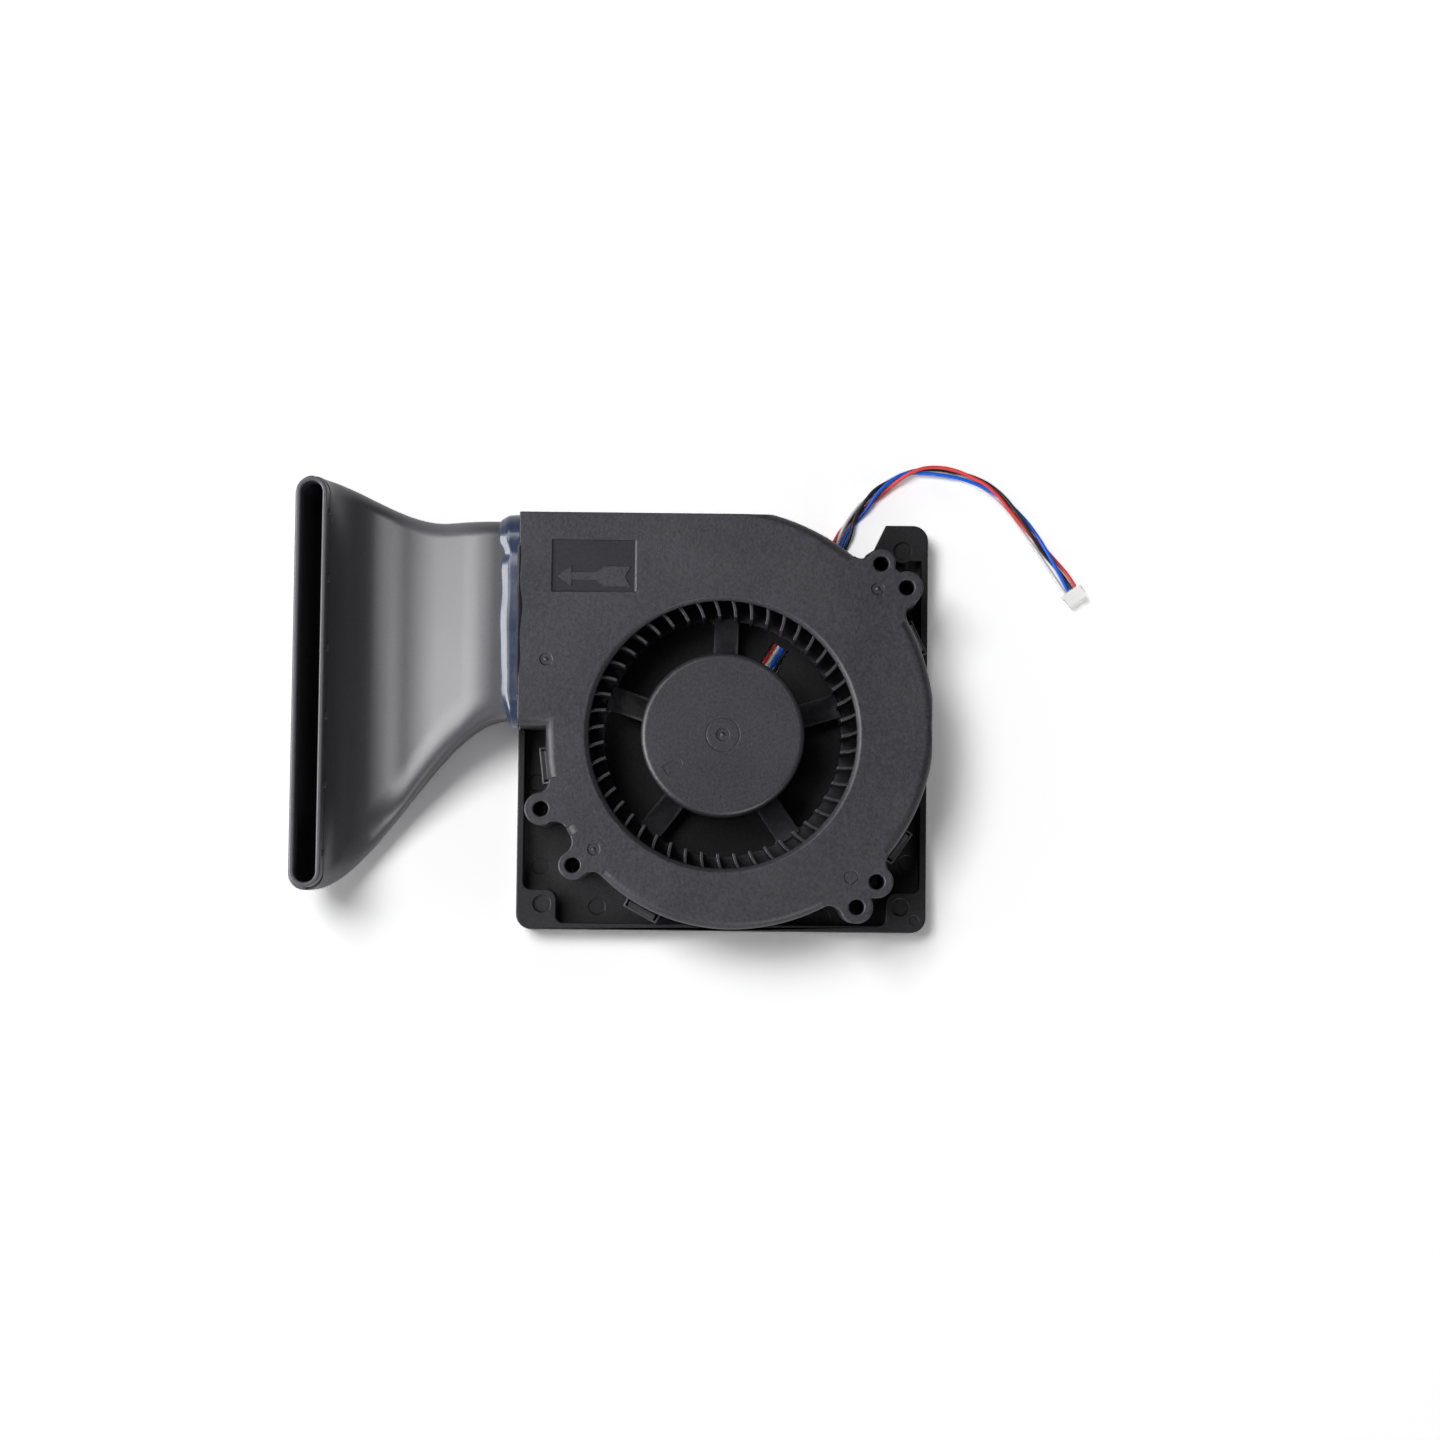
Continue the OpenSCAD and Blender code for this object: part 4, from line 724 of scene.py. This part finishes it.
def make_glue():
    """The bead's section along the joint: pinched near its upper end, drawn in with a lump at the lower."""
    place, normal, s = bead_path(BEAD_ROWS)
    y = place[:, 0]
    ends = mix(END_LEAST, 1.0, np.minimum(smooth_step(s / END_L), smooth_step((s[-1] - s) / END_L)))
    drawn_in = mix(DRAW_LEAST, 1.0, smooth_step((y - y[0]) / DRAW_L))
    lump = hump(y - y[0], LUMP_L)
    pinch = hump(y - PINCH_Y, PINCH_L)
    knot = hump(y - KNOT_Y, KNOT_L)
    width = (BEAD_W + ripple(s, WIDTH_RIPPLES) - PINCH_W * pinch + KNOT_W * knot) * ends * drawn_in
    height = (BEAD_H + ripple(s, HEIGHT_RIPPLES) - PINCH_H * pinch + KNOT_H * knot + LUMP_H * lump) * ends
    t, rise = bead_section()
    out = np.concatenate([1.0 - t, [0.0]])
    up = np.concatenate([rise, [0.0]])
    lift = height[:, None] * up - BEAD_SINK
    points = np.stack([mouth_x - width[:, None] * out,
                       y[:, None] + normal[:, 0, None] * lift,
                       place[:, 1, None] + normal[:, 1, None] * lift], axis=2)
    rows, columns = lift.shape
    shell = points.reshape(-1, 3), grid_faces(rows, columns, True) + end_faces(rows, columns)
    seal = mesh_piece("glue_seal", [shell], finishes["glue"], HOUSING, BEAD_SHARP)
    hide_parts("glue_bead")


def make_smear():
    """A thin film of glue on the cover's edge: a strip along Y with a wavy edge, narrowing at both ends."""
    low, high = nozzle_edges(np.zeros(1))
    y = np.linspace(low[0] + SMEAR_FROM_LOW, high[0] - SMEAR_FROM_HIGH, SMEAR_ROWS)
    share = (y - y[0]) / (y[-1] - y[0])
    closing = smooth_step(share / SMEAR_CLOSE) * smooth_step((1.0 - share) / SMEAR_CLOSE)
    waves = np.sin(y / SMEAR_WAVE_L + SMEAR_WAVE_PHASE) * np.sin(y / SMEAR_LONG_WAVE_L)
    uneven = SMEAR_MEAN + SMEAR_RIPPLE * waves
    reach = SMEAR_W * closing * np.clip(uneven, SMEAR_LEAST, None)
    across = SMEAR_ACROSS[None, :]
    top = cover_high[2] + SMEAR_T * SMEAR_LEVELS[None, :]
    x = mouth_x + across * np.where(across < 0, SMEAR_BACK * closing[:, None], reach[:, None])
    points = np.stack([x, np.broadcast_to(y[:, None], x.shape), np.broadcast_to(top, x.shape)], axis=2)
    rows, columns = x.shape
    shell = points.reshape(-1, 3), grid_faces(rows, columns, True) + end_faces(rows, columns)
    mesh_piece("glue_smear", [shell], finishes["glue_film"], HOUSING, BEAD_SHARP)


make_smear()
make_glue()


# Webs that carry the top of the cover out to its screw lugs, level over the scroll's rounded edge

SCROLL_R = 50.75
SCROLL_GROWTH = 5.0
ARC_CORNERS = np.array([[1.0, -1.0], [1.0, 1.0], [-1.0, 1.0]])
LUG_FILLET_R = 3.5
# Quarter of the scroll, then the middle and radius of the first and the last lug that a web joins
LUG_ENDS = ((0, (-51.8, -21.9), 4.7, (-51.8, -21.9), 4.7), (0, (-42.5, -37.9), 4.1, (-42.5, -37.9), 4.1),
            (2, (52.4, 42.7), 4.7, (45.0, 49.5), 4.1), (1, (38.7, -49.0), 4.7, (44.4, -41.7), 4.7))
# Middle and radius of each round mark on the cover near a web
COVER_MARKS = np.array([[44.0, 42.3, 1.85], [-36.5, -33.3, 1.85], [37.1, -40.5, 2.0]])
WEB_OUTER = 0.5
WEB_INNER = 3.1
WEB_T = 1.1
WEB_LEAST = 0.1
WEB_LIFT = 0.004
WEB_STEPS = 90


def lug_edge_angle(centre, radius, lug, lug_r, side):
    """Direction in which the hollow curve beside a lug touches the scroll wall, by the law of cosines."""
    run = np.array(lug) - centre
    wall_reach, lug_reach = radius + LUG_FILLET_R, lug_r + LUG_FILLET_R
    cosine = (run @ run + wall_reach ** 2 - lug_reach ** 2) / (2 * np.linalg.norm(run) * wall_reach)
    return math.atan2(run[1], run[0]) + side * math.acos(cosine)


def web_strip(quarter, first, first_r, last, last_r):
    """A strip along the scroll wall from one lug's edge to another's, drawn back round the cover's marks."""
    centre = ARC_CORNERS[quarter] * SCROLL_GROWTH / 2
    radius = SCROLL_R + SCROLL_GROWTH * (quarter + 0.5)
    angle = np.linspace(lug_edge_angle(centre, radius, first, first_r, -1),
                        lug_edge_angle(centre, radius, last, last_r, 1), WEB_STEPS)
    way = np.stack([np.cos(angle), np.sin(angle)], axis=1)
    mark = COVER_MARKS[:, :2] - centre
    across = np.abs(way[:, :1] * mark[:, 1] - way[:, 1:] * mark[:, 0])
    reach = way @ mark.T + np.sqrt(np.maximum(COVER_MARKS[:, 2] ** 2 - across ** 2, 0.0))
    room = np.where(across < COVER_MARKS[:, 2], radius - reach, WEB_INNER)
    inner = np.clip(room.min(axis=1), WEB_OUTER + WEB_LEAST, WEB_INNER)
    depth = np.stack([np.full_like(inner, WEB_OUTER), inner, inner, np.full_like(inner, WEB_OUTER)], axis=1)
    top = cover_high[2] + WEB_LIFT
    height = np.broadcast_to(np.array([top, top, top - WEB_T, top - WEB_T]), depth.shape)
    plan = centre + (radius - depth)[:, :, None] * way[:, None, :]
    points = np.concatenate([plan, height[:, :, None]], axis=2)
    return points.reshape(-1, 3), grid_faces(WEB_STEPS, 4, True) + end_faces(WEB_STEPS, 4)


mesh_piece("lug_webs", [web_strip(*ends) for ends in LUG_ENDS], finishes["cover_plastic"], HOUSING)


# Sunk panel of the cover, with a raised arrow that points the way that the air goes

PANEL_DEPTH = 0.6
PANEL_CORNER = np.array([-49.4, 40.7])
PANEL_SIZE = np.array([24.2, 14.8])
FACE_T = 0.04
FACE_SHARP = 10.0
SLOPE_W = 0.6
SLOPE_H = 0.45
ARROW_TIP = np.array([-47.8, 45.05])
ARROW_L = 20.9
ARROW_HALF_W = 2.95
ARROW_HEAD_L = 3.9
ARROW_SHAFT_L = 7.2
ARROW_SHAFT_HALF_W = 1.2
FLIGHT_SLOPE_L = 2.3
FLIGHT_NOTCH = 1.6
ARROW_H = 0.3
ARROW_SINK = 0.1
ARROW_EDGE = 0.12


def make_panel_face():
    """The smooth floor of the sunk panel: a thin slab from wall to wall."""
    floor = cover_high[2] - PANEL_DEPTH
    low = np.append(PANEL_CORNER, floor - FACE_T)
    high = np.append(PANEL_CORNER + PANEL_SIZE, floor + FACE_T)
    mesh_piece("panel_face", [rounded_block(low, high, FACE_T / 2)], finishes["panel_plastic"], HOUSING,
               FACE_SHARP)


def make_panel_slope():
    """The sloped wall at the right of the panel: a three-cornered profile carried along Y."""
    floor = cover_high[2] - PANEL_DEPTH
    wall = PANEL_CORNER[0] + PANEL_SIZE[0]
    profile = np.array([[wall - SLOPE_W, floor], [wall + FACE_T, floor], [wall + FACE_T, floor + SLOPE_H]])
    ends = PANEL_CORNER[1] + np.array([0.0, PANEL_SIZE[1]])
    points = np.concatenate([np.insert(profile, 1, y, axis=1) for y in ends])
    shell = points, grid_faces(2, 3, True) + end_faces(2, 3)
    mesh_piece("panel_slope", [shell], finishes["cover_plastic"], HOUSING, FACE_SHARP)


def make_arrow():
    """A flat arrow with a notched flight: its lower half outline, mirrored, with a straight wall."""
    shaft_end = ARROW_HEAD_L + ARROW_SHAFT_L
    half = np.array([[0.0, 0.0], [ARROW_HEAD_L, ARROW_HALF_W], [ARROW_HEAD_L, ARROW_SHAFT_HALF_W],
                     [shaft_end, ARROW_SHAFT_HALF_W], [shaft_end + FLIGHT_SLOPE_L, ARROW_HALF_W],
                     [ARROW_L, ARROW_HALF_W], [ARROW_L - FLIGHT_NOTCH, 0.0]])
    outline = np.vstack([half * [1.0, -1.0], half[-2:0:-1]]) + ARROW_TIP
    floor = cover_high[2] - PANEL_DEPTH
    levels = np.array([floor - ARROW_SINK, floor + ARROW_H])
    points = np.concatenate([np.column_stack([outline, np.full(len(outline), z)]) for z in levels])
    shell = points, grid_faces(2, len(outline), True) + end_faces(2, len(outline))
    arrow = mesh_piece("flow_arrow", [shell], finishes["cover_plastic"], HOUSING)
    round_edges(arrow, ARROW_EDGE)


make_panel_face()
make_panel_slope()
make_arrow()


# Floor, lights and background

# Half width of the floor in metres, then how pale it is to other light, to the camera and in reflections
FLOOR_HALF = 40.0
FLOOR_COLOUR = 0.8
FLOOR_SEEN = 3.7
FLOOR_MIRRORED = 3.0
FLOOR_GAP = 0.05
# Direction in degrees, distance and size in metres, and brightness of each lamp
OFF_FLOOR_LAMPS = (
    {"name": "key_light", "azimuth": 187.0, "elevation": 32.0, "distance": 2.0,
     "width": 1.45, "height": 1.3, "radiance": 6.8},
    {"name": "key_rim_light", "azimuth": 187.0, "elevation": 38.0, "distance": 2.1,
     "width": 2.1, "height": 2.1, "radiance": 1.7},
    {"name": "front_light", "azimuth": 290.0, "elevation": 38.0, "distance": 2.0,
     "width": 0.7, "height": 0.6, "radiance": 9.0})
HIGH_LAMP = {"name": "high_light", "azimuth": 140.0, "elevation": 62.0, "distance": 4.0,
             "width": 1.7, "height": 1.7, "radiance": 4.0}
# Share of straight up where the background's fade starts and ends, and how bright it is there
HORIZON_RISE = 0.1
CEILING_RISE = 0.55
HORIZON_LIGHT = 0.45
CEILING_LIGHT = 0.05


def make_floor():
    """A wide pale floor. The camera and reflections see its colour lifted to white, and the shadow stays."""
    mesh = bpy.data.meshes.new("floor")
    h = FLOOR_HALF
    z = -FLOOR_GAP * MM
    mesh.from_pydata([(-h, -h, z), (h, -h, z), (h, h, z), (-h, h, z)], [], [(0, 1, 2, 3)])
    material = bpy.data.materials.new("pale_floor")
    material.use_nodes = True
    nodes, links = material.node_tree.nodes, material.node_tree.links
    nodes.remove(nodes["Principled BSDF"])
    diffuse = nodes.new("ShaderNodeBsdfDiffuse")
    path = nodes.new("ShaderNodeLightPath")
    mirrored = nodes.new("ShaderNodeMath")
    mirrored.operation = "MAXIMUM"
    level = nodes.new("ShaderNodeMapRange")
    level.inputs["To Min"].default_value = FLOOR_COLOUR
    level.inputs["To Max"].default_value = FLOOR_MIRRORED
    seen = nodes.new("ShaderNodeMapRange")
    seen.inputs["To Max"].default_value = FLOOR_SEEN
    links.new(path.outputs["Is Glossy Ray"], mirrored.inputs[0])
    links.new(path.outputs["Is Transmission Ray"], mirrored.inputs[1])
    links.new(mirrored.outputs[0], level.inputs["Value"])
    links.new(level.outputs["Result"], seen.inputs["To Min"])
    links.new(path.outputs["Is Camera Ray"], seen.inputs["Value"])
    links.new(seen.outputs["Result"], diffuse.inputs["Color"])
    links.new(diffuse.outputs[0], nodes["Material Output"].inputs["Surface"])
    mesh.materials.append(material)
    floor = bpy.data.objects.new("floor", mesh)
    bpy.context.scene.collection.objects.link(floor)
    return floor


def soft_box(name, azimuth, elevation, distance, width, height, radiance):
    """One rectangular studio lamp turned to the fan, by its direction and how bright its face is."""
    turn, rise = math.radians(azimuth), math.radians(elevation)
    way = Vector((math.cos(rise) * math.cos(turn), math.cos(rise) * math.sin(turn), math.sin(rise)))
    data = bpy.data.lights.new(name, "AREA")
    data.shape = "RECTANGLE"
    data.size = width
    data.size_y = height
    data.energy = radiance * math.pi * width * height
    lamp = bpy.data.objects.new(name, data)
    bpy.context.scene.collection.objects.link(lamp)
    lamp.location = way * distance
    lamp.rotation_mode = "QUATERNION"
    lamp.rotation_quaternion = (-way).to_track_quat("-Z", "Y")
    return lamp


def make_lamps(floor):
    """A low key lamp with a dim rim on the left and one in front, kept off the floor, and a high lamp."""
    beside = bpy.data.collections.new("beside_the_light")
    beside.objects.link(floor)
    beside.collection_objects[0].light_linking.link_state = "EXCLUDE"
    for values in OFF_FLOOR_LAMPS:
        soft_box(**values).light_linking.receiver_collection = beside
    soft_box(**HIGH_LAMP)


def make_world():
    """A studio room: white walls near the horizon and a dim ceiling."""
    world = bpy.data.worlds.new("studio")
    bpy.context.scene.world = world
    world.use_nodes = True
    nodes, links = world.node_tree.nodes, world.node_tree.links
    place = nodes.new("ShaderNodeTexCoord")
    split = nodes.new("ShaderNodeSeparateXYZ")
    fade = nodes.new("ShaderNodeMapRange")
    fade.interpolation_type = "SMOOTHSTEP"
    fade.inputs["From Min"].default_value = HORIZON_RISE
    fade.inputs["From Max"].default_value = CEILING_RISE
    fade.inputs["To Min"].default_value = HORIZON_LIGHT
    fade.inputs["To Max"].default_value = CEILING_LIGHT
    links.new(place.outputs["Generated"], split.inputs[0])
    links.new(split.outputs["Z"], fade.inputs["Value"])
    links.new(fade.outputs["Result"], nodes["Background"].inputs["Strength"])
    nodes["Background"].inputs["Color"].default_value = (1.0, 1.0, 1.0, 1.0)


make_lamps(make_floor())
make_world()
bpy.context.scene.view_settings.view_transform = "Standard"
